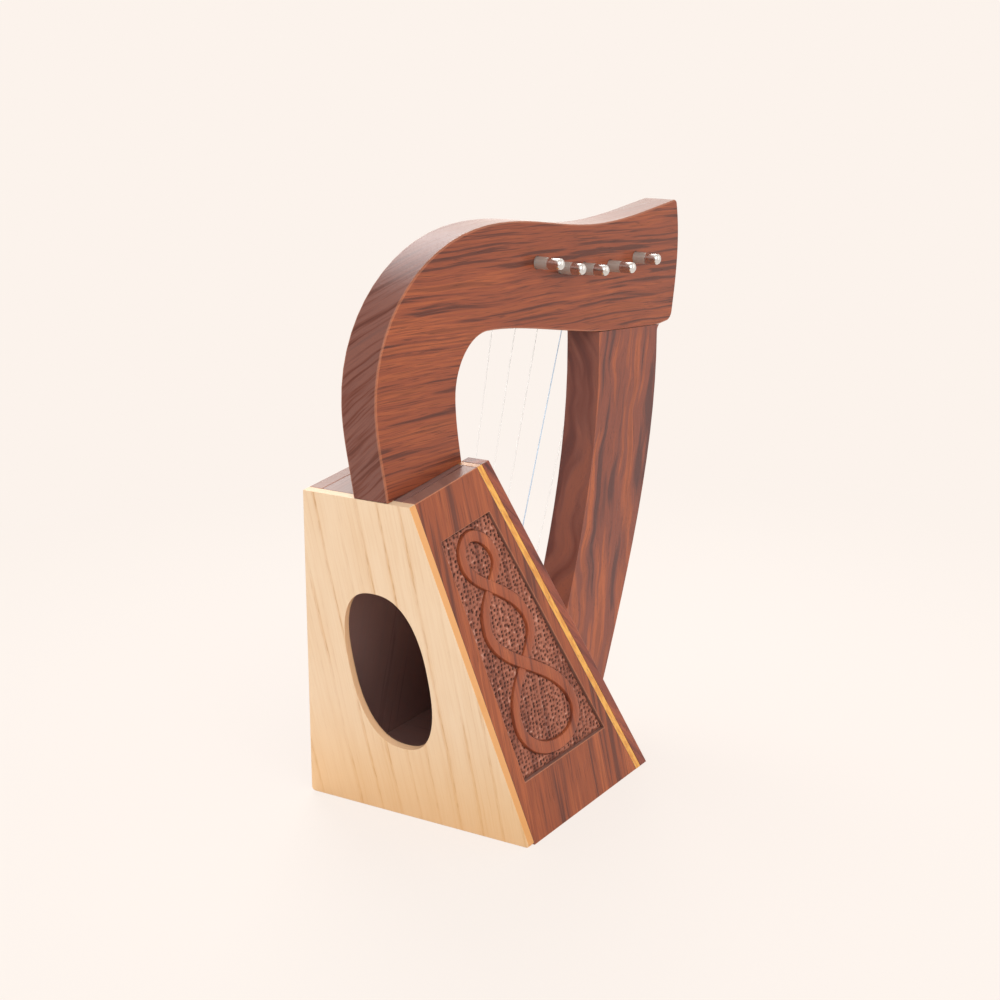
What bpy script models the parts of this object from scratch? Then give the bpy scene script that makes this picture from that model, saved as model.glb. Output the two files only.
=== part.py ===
"""Five-string lap harp, modelled as its separate wooden, metal and nylon pieces.

The frame is +X forwards from the player to the pillar, +Y to the player's left and +Z up.
Shapes are worked out from the lower rear edge of the soundbox, and the parent empty then
moves them so that the origin lies on the floor under the middle of the whole harp.
"""
import math

import bmesh
import bpy
from mathutils import Matrix, Vector
from mathutils.geometry import interpolate_bezier

MM = 0.001

# Clearance between faces that touch, and round a pin or a dowel in its bore
GAP = 0.3 * MM

# Soundbox: outer sizes, measured on the back panel and the soundboard's front face
BOX_HEIGHT = 182.0 * MM
BOX_BASE_WIDTH = 136.0 * MM
BOX_TOP_WIDTH = 62.0 * MM
BOX_BASE_DEPTH = 116.1 * MM
BACK_LEAN = math.radians(13.4)
FRONT_LEAN = math.radians(27.0)
TOP_RISE = math.radians(5.1)

# Soundbox: board thicknesses
BACK_THICKNESS = 4.8 * MM
SIDE_THICKNESS = 7.5 * MM
SOUNDBOARD_THICKNESS = 4.0 * MM
BASE_THICKNESS = 15.0 * MM
TOP_BLOCK_THICKNESS = 16.0 * MM
TRIM_THICKNESS = 6.0 * MM
TRIM_WIDTH = 12.0 * MM

# Oval sound hole in the back panel, measured in the plane of the panel: an ellipse has a fullness of 2
HOLE_WIDTH = 47.6 * MM
HOLE_HEIGHT = 91.0 * MM
HOLE_FULLNESS = 2.45
HOLE_CENTRE_UP = 89.2 * MM
HOLE_CENTRE_LEFT = 0.3 * MM
HOLE_SIDES = 80

# Carved field on each side panel, with its interlaced strand
FIELD_DEPTH = 1.5 * MM
FIELD_REAR_MARGIN = 9.0 * MM
FIELD_FRONT_MARGIN = 7.0 * MM
FIELD_TOP_MARGIN = 23.0 * MM
FIELD_BOTTOM_MARGIN = 31.8 * MM
STRAND_WIDTH = 6.5 * MM
STRAND_ROOT = 1.0 * MM
STRAND_SINK = 0.15 * MM
STRAND_DIP = 0.6 * MM
STRAND_SLACK = 0.1 * MM
STRAND_TOP_MARGIN = 5.0 * MM
STRAND_BOTTOM_MARGIN = 7.2 * MM
STRAND_TOP_LOOP = 13.7 * MM
STRAND_MIDDLE_LOOP = 17.6 * MM
STRAND_BOTTOM_LOOP = 26.0 * MM

# The strand's run: how far down its end loops and its crossings fall, and where it dips under
TOP_LOOP_PLACE = 0.095
FIRST_CROSSING = 0.233
SECOND_CROSSING = 0.6
BOTTOM_LOOP_PLACE = 0.83
DIP_SPAN = math.radians(18.0)
DIP_TURNS = (math.radians(60.0), math.radians(240.0))
STRAND_LAP = math.radians(8.0)
STRAND_POINTS = 40

# Ribs that carry the strings' pull along the middle of the soundboard
RIB_WIDTH = 14.0 * MM
RIB_THICKNESS = 3.0 * MM
RIB_FOOT_UP = 44.0 * MM
RIB_TOP_MARGIN = 10.0 * MM
INNER_RIB_THICKNESS = 4.0 * MM

# Neck: a sawn board, its outline measured from the top rear edge of the soundbox
NECK_THICKNESS = 20.0 * MM
NECK_LEFT_FACE = 1.0 * MM
NECK_FOOT_REACH = 63.0 * MM
SHOULDER_BULGE = 7.2 * MM
SHOULDER_BULGE_RISE = 46.0 * MM
ARCH_REACH = 91.0 * MM
ARCH_RISE = 118.5 * MM
DIP_REACH = 218.0 * MM
DIP_RISE = 105.2 * MM
HEAD_REACH = 290.5 * MM
HEAD_RISE = 108.6 * MM
HEAD_BOW = 6.0 * MM
LIP_REACH = 285.0 * MM
LIP_RISE = 40.0 * MM
LIP_RADIUS = 4.5 * MM
INNER_CORNER_REACH = 87.3 * MM
INNER_CORNER_RISE = 38.0 * MM
INNER_CORNER_RADIUS = 28.5 * MM
NECK_OVERRUN = 12.0 * MM

# How far the neck's curves keep the direction that they have at its outline points
SHOULDER_RUN_OUT = 2.2 * MM
SHOULDER_RUN_UP = 15.0 * MM
BULGE_RUN_DOWN = 16.0 * MM
BULGE_RUN_UP = 42.0 * MM
ARCH_RUN_BACK = 57.0 * MM
ARCH_RUN_AHEAD = 46.0 * MM
DIP_RUN_BACK = 50.0 * MM
DIP_RUN_AHEAD = 28.0 * MM
HEAD_RUN_BACK = 24.0 * MM
HEAD_RUN_DROP = 1.2 * MM
CROOK_RUN_AHEAD = 30.0 * MM
CROOK_RUN_DROP = 1.5 * MM
JOINT_RUN_BACK = 32.0 * MM
JOINT_RUN_RISE = 1.5 * MM
WAIST_RUN_DOWN = 12.0 * MM
FOOT_RUN_UP = 9.0 * MM
FOOT_RUN_BACK = 1.6 * MM

# Joint between the neck's lower edge and the pillar's top, with a cove at its front
JOINT_REAR_REACH = 199.5 * MM
JOINT_REAR_RISE = 47.2 * MM
JOINT_FRONT_REACH = 271.5 * MM
JOINT_FRONT_RISE = 39.5 * MM
COVE_RADIUS = 4.0 * MM

# Pillar: a bowed board of even depth that stands on the floor ahead of the soundboard
PILLAR_DEPTH = 67.5 * MM
PILLAR_THICKNESS = 20.0 * MM
PILLAR_TOE = 33.0 * MM
PILLAR_TOP_BOW = 72.0 * MM
PILLAR_FOOT_BOW = 85.0 * MM
PILLAR_FOOT_SLOPE = 0.52
PILLAR_OVERRUN = 16.0 * MM

# Tuning pins: reach of each along the neck, its drop below the neck's top edge, and how far it stands out
PIN_REACHES = (135.5 * MM, 159.3 * MM, 183.4 * MM, 211.9 * MM, 240.9 * MM)
PIN_DROPS = (20.9 * MM, 22.9 * MM, 23.4 * MM, 24.0 * MM, 23.8 * MM)
PIN_HEAD_LENGTHS = (15.5 * MM, 14.4 * MM, 14.7 * MM, 15.3 * MM, 15.3 * MM)
PIN_DIAMETER = 6.35 * MM
PIN_END_ROUNDING = 2.4 * MM
PIN_FLAT_LENGTH = 8.0 * MM
PIN_ACROSS_FLATS = 5.9 * MM
PIN_TAIL_MARGIN = 4.0 * MM
PIN_SIDES = 24

# Strings: nylon, knotted behind the soundboard and wound on the pins' left ends
STRING_DIAMETER = 0.8 * MM
STRING_OFFSET = 4.4 * MM
STRING_WRAP = math.radians(150.0)
ANCHOR_FIRST = 57.0 * MM
ANCHOR_SPACING = 24.0 * MM
KNOT_DIAMETER = 3.4 * MM
WINDING_TURNS = 3
WINDING_PITCH = 1.3 * MM
POINTS_PER_TURN = 24

# Eyelets that line the string holes
EYELET_BORE = 2.2 * MM
EYELET_WALL = 0.5 * MM
EYELET_FLANGE_DIAMETER = 5.6 * MM
EYELET_FLANGE_THICKNESS = 0.7 * MM
EYELET_SIDES = 20

# Dowels in the three glued frame joints
DOWEL_DIAMETER = 8.0 * MM
NECK_DOWEL_REACHES = (15.0 * MM, 46.0 * MM)
NECK_DOWEL_UP = 16.0 * MM
NECK_DOWEL_DOWN = 11.0 * MM
PILLAR_DOWEL_SETBACKS = (18.0 * MM, 48.0 * MM)
PILLAR_DOWEL_HALF = 15.0 * MM
FOOT_DOWEL_DIAMETER = 6.0 * MM
FOOT_DOWEL_SPACING = 10.0 * MM
FOOT_DOWEL_REAR = 16.0 * MM
FOOT_DOWEL_FRONT = 18.0 * MM
DOWEL_SIDES = 20

# Lengths that only have to pass well beyond the harp
BEYOND = 1.0
CUT_OVERRUN = 5.0 * MM

# Sizes that follow from the ones above
SIDE_TAPER = (BOX_BASE_WIDTH - BOX_TOP_WIDTH) / 2 / BOX_HEIGHT
SIDE_LEAN = math.atan(SIDE_TAPER)
REAR_EDGE = Vector((-BOX_HEIGHT * math.tan(BACK_LEAN), 0.0, BOX_HEIGHT))
NECK_MIDDLE = NECK_LEFT_FACE - NECK_THICKNESS / 2
NECK_RIGHT_FACE = NECK_LEFT_FACE - NECK_THICKNESS
PIN_RADIUS = PIN_DIAMETER / 2
STRING_RADIUS = STRING_DIAMETER / 2
STRING_PLANE = NECK_LEFT_FACE + STRING_OFFSET
WRAP_RADIUS = PIN_RADIUS + GAP + STRING_RADIUS
PIN_TAIL_LENGTH = STRING_OFFSET + WINDING_PITCH * (WINDING_TURNS + 1) + PIN_TAIL_MARGIN

# Share of a radius that makes a Bezier handle follow a quarter circle
QUARTER = 0.5523


# Flat faces: each is a point on the face and its outward unit normal

def face(point, normal):
    """A flat face through a point, with its outward normal."""
    return Vector(point), Vector(normal).normalized()


def inset(flat, depth):
    """The face moved into its solid by a depth."""
    point, normal = flat
    return point - normal * depth, normal


def outset(flat, height):
    """The face moved out of its solid by a height."""
    return inset(flat, -height)


def reverse(flat):
    """The same face, looking the other way."""
    point, normal = flat
    return point, -normal


def side_face(hand):
    """Outer face of a side panel: hand is -1 on the player's right, 1 on the left."""
    return face((0, hand * BOX_BASE_WIDTH / 2, 0), (0, hand * math.cos(SIDE_LEAN), math.sin(SIDE_LEAN)))


FLOOR = face((0, 0, 0), (0, 0, -1))
BACK = face((0, 0, 0), (-math.cos(BACK_LEAN), 0, -math.sin(BACK_LEAN)))
FRONT = face((BOX_BASE_DEPTH, 0, 0), (math.cos(FRONT_LEAN), 0, math.sin(FRONT_LEAN)))
TOP = face(REAR_EDGE, (-math.sin(TOP_RISE), 0, math.cos(TOP_RISE)))
UP_THE_FRONT = Vector((-math.sin(FRONT_LEAN), 0, math.cos(FRONT_LEAN)))

BACK_INSIDE = inset(BACK, BACK_THICKNESS + GAP)
FRONT_INSIDE = inset(FRONT, SOUNDBOARD_THICKNESS + GAP)


def across(hand, offset):
    """An upright face square to Y at an offset on one side of the middle."""
    return face((0, hand * offset, 0), (0, hand, 0))


def front_point(up, height=0.0):
    """A point on the middle of the soundboard's front, a distance up it and a height off it."""
    return FRONT[0] + UP_THE_FRONT * up + FRONT[1] * height


def top_height(x):
    """Height of the soundbox's top face at a place along X."""
    return REAR_EDGE.z + (x - REAR_EDGE.x) * math.tan(TOP_RISE)


def place_at(leaning, z):
    """Place along X of a face that leans forwards or back, at a height."""
    point, normal = leaning
    return point.x - (z - point.z) * normal.z / normal.x


# Scene, materials and pieces

def clear_scene():
    """Removes what is in the scene, so that the harp is all it holds."""
    for item in list(bpy.data.objects):
        bpy.data.objects.remove(item, do_unlink=True)


def collection(name):
    """A new collection linked to the scene."""
    made = bpy.data.collections.new(name)
    bpy.context.scene.collection.children.link(made)
    return made


def finish(name, colour, roughness, metallic=0.0):
    """A Principled material."""
    made = bpy.data.materials.new(name)
    made.use_nodes = True
    shader = made.node_tree.nodes["Principled BSDF"]
    shader.inputs["Base Color"].default_value = (*colour, 1.0)
    shader.inputs["Roughness"].default_value = roughness
    shader.inputs["Metallic"].default_value = metallic
    return made


clear_scene()
PARTS = collection("lap_harp")
CUTTERS = collection("lap_harp_cutters")
ORIGIN = bpy.data.objects.new("lap_harp_origin", None)
PARTS.objects.link(ORIGIN)

DARK_WOOD = finish("dark_wood", (0.26, 0.095, 0.052), 0.45)
PILLAR_WOOD = finish("pillar_wood", (0.22, 0.085, 0.05), 0.45)
PALE_WOOD = finish("pale_wood", (0.86, 0.67, 0.43), 0.5)
SOUNDBOARD_PLY = finish("soundboard_ply", (0.84, 0.46, 0.14), 0.5)
DOWEL_WOOD = finish("dowel_wood", (0.72, 0.54, 0.34), 0.6)
NICKEL = finish("nickel_plate", (0.78, 0.78, 0.76), 0.15, 1.0)
BRASS = finish("brass", (0.78, 0.58, 0.25), 0.3, 1.0)
CLEAR_NYLON = finish("clear_nylon", (0.86, 0.87, 0.86), 0.2)
BLUE_NYLON = finish("blue_nylon", (0.42, 0.63, 0.82), 0.2)


def add_piece(name, data, look, parent=None, place=(0, 0, 0)):
    """Puts a mesh or curve into the scene as a named piece of the harp."""
    piece = bpy.data.objects.new(name, data)
    piece.location = place
    piece.parent = parent or ORIGIN
    data.materials.append(look)
    PARTS.objects.link(piece)
    if piece.type == "MESH":
        data.shade_smooth()
        data.set_sharp_from_angle(angle=math.radians(30))
    return piece


def add_cutter(name, data):
    """Puts a mesh into the scene as a wire guide that only cuts or joins."""
    cutter = bpy.data.objects.new(name, data)
    cutter.parent = ORIGIN
    cutter.hide_render = True
    cutter.display_type = "WIRE"
    CUTTERS.objects.link(cutter)
    return cutter


def combine(piece, cutter, operation):
    """Adds a Boolean modifier to a piece."""
    modifier = piece.modifiers.new(cutter.name, "BOOLEAN")
    modifier.operation = operation
    modifier.solver = "EXACT"
    modifier.object = cutter


def settled_mesh(item):
    """The mesh of an object with its modifiers or bevel applied, its doubles welded."""
    bpy.context.view_layer.update()
    evaluated = item.evaluated_get(bpy.context.evaluated_depsgraph_get())
    mesh = bpy.data.meshes.new_from_object(evaluated)
    bm = bmesh.new()
    bm.from_mesh(mesh)
    bmesh.ops.remove_doubles(bm, verts=bm.verts, dist=1e-6)
    bmesh.ops.recalc_face_normals(bm, faces=bm.faces)
    bm.to_mesh(mesh)
    bm.free()
    return mesh


# Ways of making solids

def cut_to(bm, faces):
    """Cuts a closed mesh back to the inner side of each face and caps it."""
    for point, normal in faces:
        geometry = bm.verts[:] + bm.edges[:] + bm.faces[:]
        cut = bmesh.ops.bisect_plane(
            bm, geom=geometry, dist=1e-7, plane_co=point, plane_no=normal, clear_outer=True)
        rim = [item for item in cut["geom_cut"] if isinstance(item, bmesh.types.BMEdge)]
        if rim:
            bmesh.ops.edgeloop_fill(bm, edges=rim)
    bmesh.ops.recalc_face_normals(bm, faces=bm.faces)


def mesh_from(bm, name):
    """Turns a bmesh into mesh data."""
    mesh = bpy.data.meshes.new(name)
    bm.to_mesh(mesh)
    bm.free()
    return mesh


def board(name, faces):
    """A board planed to a set of flat faces, starting from a cube."""
    bm = bmesh.new()
    bmesh.ops.create_cube(bm, size=BEYOND)
    cut_to(bm, faces)
    return mesh_from(bm, name)


def rods(name, runs, sides):
    """Round rods, one from each start to each end point with a radius."""
    bm = bmesh.new()
    for start, end, radius in runs:
        axis = Vector(end) - Vector(start)
        turn = axis.to_track_quat("Z", "Y").to_matrix().to_4x4()
        middle = Matrix.Translation((Vector(start) + Vector(end)) / 2)
        bmesh.ops.create_cone(bm, cap_ends=True, segments=sides, radius1=radius, radius2=radius,
                              depth=axis.length, matrix=middle @ turn)
    return mesh_from(bm, name)


def sawn_board(name, outline, thickness, middle, faces):
    """A board sawn to a closed Bezier outline in the XZ plane, then cut to flat faces."""
    curve = bpy.data.curves.new(name, "CURVE")
    curve.dimensions = "2D"
    curve.fill_mode = "BOTH"
    curve.extrude = thickness / 2
    curve.resolution_u = 14
    spline = curve.splines.new("BEZIER")
    spline.bezier_points.add(len(outline) - 1)
    spline.use_cyclic_u = True
    for point, (place, before, after) in zip(spline.bezier_points, outline):
        point.co = (*place, 0)
        point.handle_left = (*before, 0)
        point.handle_right = (*after, 0)
    blank = add_cutter(name, curve)
    mesh = settled_mesh(blank)
    bpy.data.objects.remove(blank)
    mesh.transform(Matrix.Translation((0, middle, 0)) @ Matrix.Rotation(math.pi / 2, 4, "X"))
    bm = bmesh.new()
    bm.from_mesh(mesh)
    cut_to(bm, faces)
    bmesh.ops.dissolve_limit(bm, angle_limit=math.radians(0.2), verts=bm.verts, edges=bm.edges)
    bm.to_mesh(mesh)
    bm.free()
    return mesh


def tube(name, points, radius, smoothness, radii=None):
    """A round tube along points, as a curve with a bevel and filled ends."""
    curve = bpy.data.curves.new(name, "CURVE")
    curve.dimensions = "3D"
    curve.bevel_depth = radius
    curve.bevel_resolution = smoothness
    curve.use_fill_caps = True
    spline = curve.splines.new("POLY")
    spline.points.add(len(points) - 1)
    for index, place in enumerate(points):
        spline.points[index].co = (*place, 1.0)
        spline.points[index].radius = radii[index] if radii else 1.0
    return curve


# Neck outline: (place, handle before, handle after) triples in X and Z

def from_rear_edge(reach, rise):
    """A place in the neck's plane, from the soundbox's top rear edge."""
    return Vector((REAR_EDGE.x + reach, REAR_EDGE.z + rise))


def corner(place):
    """An outline point with no curve on either side."""
    return place, place, place


ARCH = from_rear_edge(ARCH_REACH, ARCH_RISE)
DIP = from_rear_edge(DIP_REACH, DIP_RISE)
HEAD = from_rear_edge(HEAD_REACH, HEAD_RISE)
LIP = from_rear_edge(LIP_REACH, LIP_RISE)
JOINT_REAR = from_rear_edge(JOINT_REAR_REACH, JOINT_REAR_RISE)
JOINT_FRONT = from_rear_edge(JOINT_FRONT_REACH, JOINT_FRONT_RISE)
INNER_CORNER = from_rear_edge(INNER_CORNER_REACH, INNER_CORNER_RISE)
JOINT_ALONG = (JOINT_FRONT - JOINT_REAR).normalized()
JOINT = face((JOINT_REAR.x, 0, JOINT_REAR.y), (-JOINT_ALONG.y, 0, JOINT_ALONG.x))

# Handles of the neck's top edge, from the arch through the dip to the head
ARCH_AFTER = ARCH + Vector((ARCH_RUN_AHEAD, 0))
DIP_BEFORE = DIP - Vector((DIP_RUN_BACK, 0))
DIP_AFTER = DIP + Vector((DIP_RUN_AHEAD, 0))
HEAD_BEFORE = HEAD - Vector((HEAD_RUN_BACK, HEAD_RUN_DROP))


def neck_outline():
    """The neck's closed outline, from its foot up the shoulder and round by the head."""
    rear = Vector((REAR_EDGE.x, REAR_EDGE.z))
    bulge = from_rear_edge(-SHOULDER_BULGE, SHOULDER_BULGE_RISE)
    waist = INNER_CORNER - Vector((INNER_CORNER_RADIUS, 0))
    crook = INNER_CORNER + Vector((0, INNER_CORNER_RADIUS))
    foot_x = REAR_EDGE.x + NECK_FOOT_REACH
    foot = Vector((foot_x, top_height(foot_x)))
    below = Vector((0, NECK_OVERRUN))
    bend = QUARTER * INNER_CORNER_RADIUS
    head_drop = (HEAD.y - LIP.y) / 3
    lip_down = Vector((-HEAD_BOW, -head_drop)).normalized() * LIP_RADIUS
    lip_back = (JOINT_FRONT - LIP).normalized() * LIP_RADIUS
    return [
        corner(rear - below),
        (rear, rear, rear + Vector((-SHOULDER_RUN_OUT, SHOULDER_RUN_UP))),
        (bulge, bulge - Vector((0, BULGE_RUN_DOWN)), bulge + Vector((0, BULGE_RUN_UP))),
        (ARCH, ARCH - Vector((ARCH_RUN_BACK, 0)), ARCH_AFTER),
        (DIP, DIP_BEFORE, DIP_AFTER),
        (HEAD, HEAD_BEFORE, HEAD + Vector((HEAD_BOW, -head_drop))),
        (LIP - lip_down, LIP + Vector((HEAD_BOW, head_drop)), LIP - lip_down * (1 - QUARTER)),
        (LIP + lip_back, LIP + lip_back * (1 - QUARTER), LIP + lip_back),
        corner(JOINT_FRONT),
        (JOINT_REAR, JOINT_REAR, JOINT_REAR - JOINT_ALONG * JOINT_RUN_BACK + Vector((0, JOINT_RUN_RISE))),
        (crook, crook + Vector((CROOK_RUN_AHEAD, -CROOK_RUN_DROP)), crook - Vector((bend, 0))),
        (waist, waist + Vector((0, bend)), waist - Vector((0, WAIST_RUN_DOWN))),
        (foot, foot + Vector((-FOOT_RUN_BACK, FOOT_RUN_UP)), foot),
        corner(foot - below),
    ]


def neck_top(x):
    """Height of the neck's top edge at a place along X, ahead of the arch."""
    runs = ((ARCH, ARCH_AFTER, DIP_BEFORE, DIP), (DIP, DIP_AFTER, HEAD_BEFORE, HEAD))
    places = [spot for run in runs for spot in interpolate_bezier(*[p.to_3d() for p in run], 60)]
    for here, ahead in zip(places, places[1:]):
        if here.x <= x <= ahead.x and ahead.x > here.x:
            return here.y + (ahead.y - here.y) * (x - here.x) / (ahead.x - here.x)
    return places[-1].y


def pillar_outline():
    """The pillar's closed outline, with ends that overrun the joint, the box and the floor."""
    step_back = Vector((-PILLAR_DEPTH, 0))
    above = Vector((0, PILLAR_OVERRUN))
    head = JOINT_FRONT - Vector((COVE_RADIUS, 0))
    cove = head - Vector((0, COVE_RADIUS))
    bend = QUARTER * COVE_RADIUS
    toe = Vector((BOX_BASE_DEPTH + PILLAR_TOE, 0))
    head_handle = head - Vector((0, PILLAR_TOP_BOW))
    toe_handle = toe + Vector((PILLAR_FOOT_SLOPE, 1)) * PILLAR_FOOT_BOW
    return [
        corner(JOINT_FRONT + above),
        (JOINT_FRONT, JOINT_FRONT, JOINT_FRONT - Vector((bend, 0))),
        (cove, cove + Vector((0, bend)), head_handle),
        (toe, toe_handle, toe),
        (toe + step_back, toe + step_back, toe_handle + step_back),
        (head + step_back, head_handle + step_back, head + step_back),
        corner(head + above + step_back),
    ]


# Soundbox

def through(knots, place):
    """Value at a place of the smooth curve through (place, value) knots."""
    total = 0.0
    for knot, value in knots:
        for other, _ in knots:
            if other != knot:
                value *= (place - other) / (knot - other)
        total += value
    return total


def strand_point(turn):
    """A place on the interlaced strand's middle line, as (x, height, dip), for a turn about its loop."""
    rear = inset(BACK_INSIDE, FIELD_REAR_MARGIN)
    ahead = inset(FRONT_INSIDE, FIELD_FRONT_MARGIN)
    low = FIELD_BOTTOM_MARGIN + STRAND_BOTTOM_MARGIN
    high = top_height(0) - FIELD_TOP_MARGIN - STRAND_TOP_MARGIN
    widest = (1 - math.cos(math.pi / 6)) / 2
    falls = ((0, 0), (widest, TOP_LOOP_PLACE), (1 / 4, FIRST_CROSSING),
             (3 / 4, SECOND_CROSSING), (1 - widest, BOTTOM_LOOP_PLACE), (1, 1))
    loops = ((1 / 6, STRAND_TOP_LOOP), (1 / 2, STRAND_MIDDLE_LOOP), (5 / 6, STRAND_BOTTOM_LOOP))
    z = high + (low - high) * through(falls, (1 - math.cos(turn)) / 2)
    swing = through(loops, abs(math.remainder(turn, 2 * math.pi)) / math.pi) * math.sin(3 * turn)
    nearest = min(abs(turn - under) for under in DIP_TURNS)
    dip = STRAND_DIP * math.cos(min(nearest / DIP_SPAN, 1.0) * math.pi / 2)
    return Vector((place_at(rear, z) / 2 + place_at(ahead, z) / 2 + swing, z, dip))


def strand_half(name, hand, first, last, slack):
    """Half of the strand between two turns: a flat band that stands in a side panel's sunk field."""
    surface = side_face(hand)
    height = FIELD_DEPTH + STRAND_ROOT - STRAND_SINK
    path = bpy.data.curves.new(name, "CURVE")
    path.dimensions = "3D"
    path.twist_mode = "Z_UP"
    path.extrude = height / 2
    spline = path.splines.new("POLY")
    spline.points.add(STRAND_POINTS)
    for index, spot in enumerate(spline.points):
        x, z, dip = strand_point(first + (last - first) * index / STRAND_POINTS)
        spot.co = (x, z / math.cos(SIDE_LEAN), -STRAND_SINK - height / 2 - dip - slack, 1.0)
    ribbon = add_cutter(name + "_ribbon", path)
    band = add_cutter(name + "_band", settled_mesh(ribbon))
    wall = band.modifiers.new("band", "SOLIDIFY")
    wall.thickness = STRAND_WIDTH - 2 * slack
    wall.offset = 0.0
    wall.use_even_offset = True
    mesh = settled_mesh(band)
    for used in (ribbon, band):
        bpy.data.objects.remove(used)
    up_the_side = Vector((0, -hand * math.sin(SIDE_LEAN), math.cos(SIDE_LEAN)))
    frame = Matrix((Vector((1, 0, 0)), up_the_side, surface[1])).transposed().to_4x4()
    mesh.transform(Matrix.Translation(surface[0]) @ frame)
    return mesh


def side_panel_mesh():
    """The right side panel: a planed board with a sunk field and a raised strand."""
    hand = -1
    surface = side_face(hand)
    blank = add_cutter("side_panel_blank", board("side_panel_blank", [
        surface, reverse(inset(surface, SIDE_THICKNESS)), BACK_INSIDE, FRONT_INSIDE, TOP, FLOOR]))
    field = add_cutter("carved_field", board("carved_field", [
        outset(surface, CUT_OVERRUN), reverse(inset(surface, FIELD_DEPTH)),
        inset(BACK_INSIDE, FIELD_REAR_MARGIN), inset(FRONT_INSIDE, FIELD_FRONT_MARGIN),
        inset(TOP, FIELD_TOP_MARGIN), inset(FLOOR, FIELD_BOTTOM_MARGIN)]))
    combine(blank, field, "DIFFERENCE")
    halves = (("strand_down", -STRAND_LAP, math.pi + STRAND_LAP, 0.0),
              ("strand_up", math.pi, 2 * math.pi, STRAND_SLACK))
    for name, first, last, slack in halves:
        combine(blank, add_cutter(name, strand_half(name, hand, first, last, slack)), "UNION")
    mesh = settled_mesh(blank)
    bpy.data.objects.remove(blank)
    return mesh


def mirrored(mesh):
    """A copy of a mesh on the other side of the middle plane."""
    copy = mesh.copy()
    copy.transform(Matrix.Scale(-1, 4, (0, 1, 0)))
    copy.flip_normals()
    return copy


def make_soundbox():
    """The box: back, sides, base, top block, soundboard, its ribs and its edge trims."""
    right, left = side_face(-1), side_face(1)
    lined = SIDE_THICKNESS + GAP
    within = [inset(right, lined), inset(left, lined), BACK_INSIDE, FRONT_INSIDE]
    base_top = reverse(inset(FLOOR, BASE_THICKNESS))
    pieces = {}
    pieces["back_panel"] = add_piece("back_panel", board("back_panel", [
        BACK, reverse(inset(BACK, BACK_THICKNESS)), right, left, TOP, FLOOR]), PALE_WOOD)
    pieces["soundboard"] = add_piece("soundboard", board("soundboard", [
        FRONT, reverse(inset(FRONT, SOUNDBOARD_THICKNESS)), right, left, TOP, FLOOR]), SOUNDBOARD_PLY)
    panel = side_panel_mesh()
    add_piece("side_panel_left", mirrored(panel), DARK_WOOD)
    add_piece("side_panel_right", panel, DARK_WOOD)
    pieces["base_board"] = add_piece("base_board", board("base_board", [
        *within, FLOOR, base_top]), DARK_WOOD)
    pieces["top_block"] = add_piece("top_block", board("top_block", [
        *within, TOP, reverse(inset(TOP, TOP_BLOCK_THICKNESS))]), DARK_WOOD)
    for name, flank in (("trim_right", right), ("trim_left", left)):
        add_piece(name, board(name, [
            outset(FRONT, GAP + TRIM_THICKNESS), reverse(outset(FRONT, GAP)),
            flank, reverse(inset(flank, TRIM_WIDTH)), TOP, FLOOR]), DARK_WOOD)
    half = RIB_WIDTH / 2
    rib_foot = face(front_point(RIB_FOOT_UP), -UP_THE_FRONT)
    pieces["string_rib"] = add_piece("string_rib", board("string_rib", [
        outset(FRONT, GAP + RIB_THICKNESS), reverse(outset(FRONT, GAP)),
        across(1, half), across(-1, half), rib_foot, inset(TOP, RIB_TOP_MARGIN)]), DARK_WOOD)
    pieces["inner_rib"] = add_piece("inner_rib", board("inner_rib", [
        FRONT_INSIDE, reverse(inset(FRONT_INSIDE, INNER_RIB_THICKNESS)),
        across(1, half), across(-1, half), reverse(outset(base_top, GAP)),
        inset(TOP, TOP_BLOCK_THICKNESS + GAP)]), DARK_WOOD)
    cut_sound_hole(pieces["back_panel"])
    return pieces


def cut_sound_hole(panel):
    """Cuts the full oval hole square through the back panel."""
    up_the_back = Vector((-math.sin(BACK_LEAN), 0, math.cos(BACK_LEAN)))
    leftwards = Vector((0, 1, 0))
    centre = up_the_back * HOLE_CENTRE_UP + leftwards * HOLE_CENTRE_LEFT
    bm = bmesh.new()
    bmesh.ops.create_cone(bm, cap_ends=True, segments=HOLE_SIDES, radius1=1.0, radius2=1.0,
                          depth=2 * BACK_THICKNESS + 2 * CUT_OVERRUN)
    for vert in bm.verts:
        up, left = abs(vert.co.x) ** HOLE_FULLNESS, abs(vert.co.y) ** HOLE_FULLNESS
        spread = (up + left) ** (-1 / HOLE_FULLNESS)
        vert.co.x *= spread * HOLE_HEIGHT / 2
        vert.co.y *= spread * HOLE_WIDTH / 2
    frame = Matrix((up_the_back, leftwards, up_the_back.cross(leftwards))).transposed()
    bmesh.ops.transform(bm, matrix=Matrix.Translation(centre) @ frame.to_4x4(), verts=bm.verts)
    combine(panel, add_cutter("sound_hole", mesh_from(bm, "sound_hole")), "DIFFERENCE")


# Frame: neck, pillar and the dowels in their joints

def make_frame():
    """The neck on top of the soundbox, and the pillar between the neck and the floor."""
    neck = add_piece("neck", sawn_board(
        "neck", neck_outline(), NECK_THICKNESS, NECK_MIDDLE, [reverse(outset(TOP, GAP))]), DARK_WOOD)
    pillar = add_piece("pillar", sawn_board(
        "pillar", pillar_outline(), PILLAR_THICKNESS, NECK_MIDDLE,
        [inset(JOINT, GAP), reverse(outset(FRONT, GAP))]), PILLAR_WOOD)
    return neck, pillar


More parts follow.
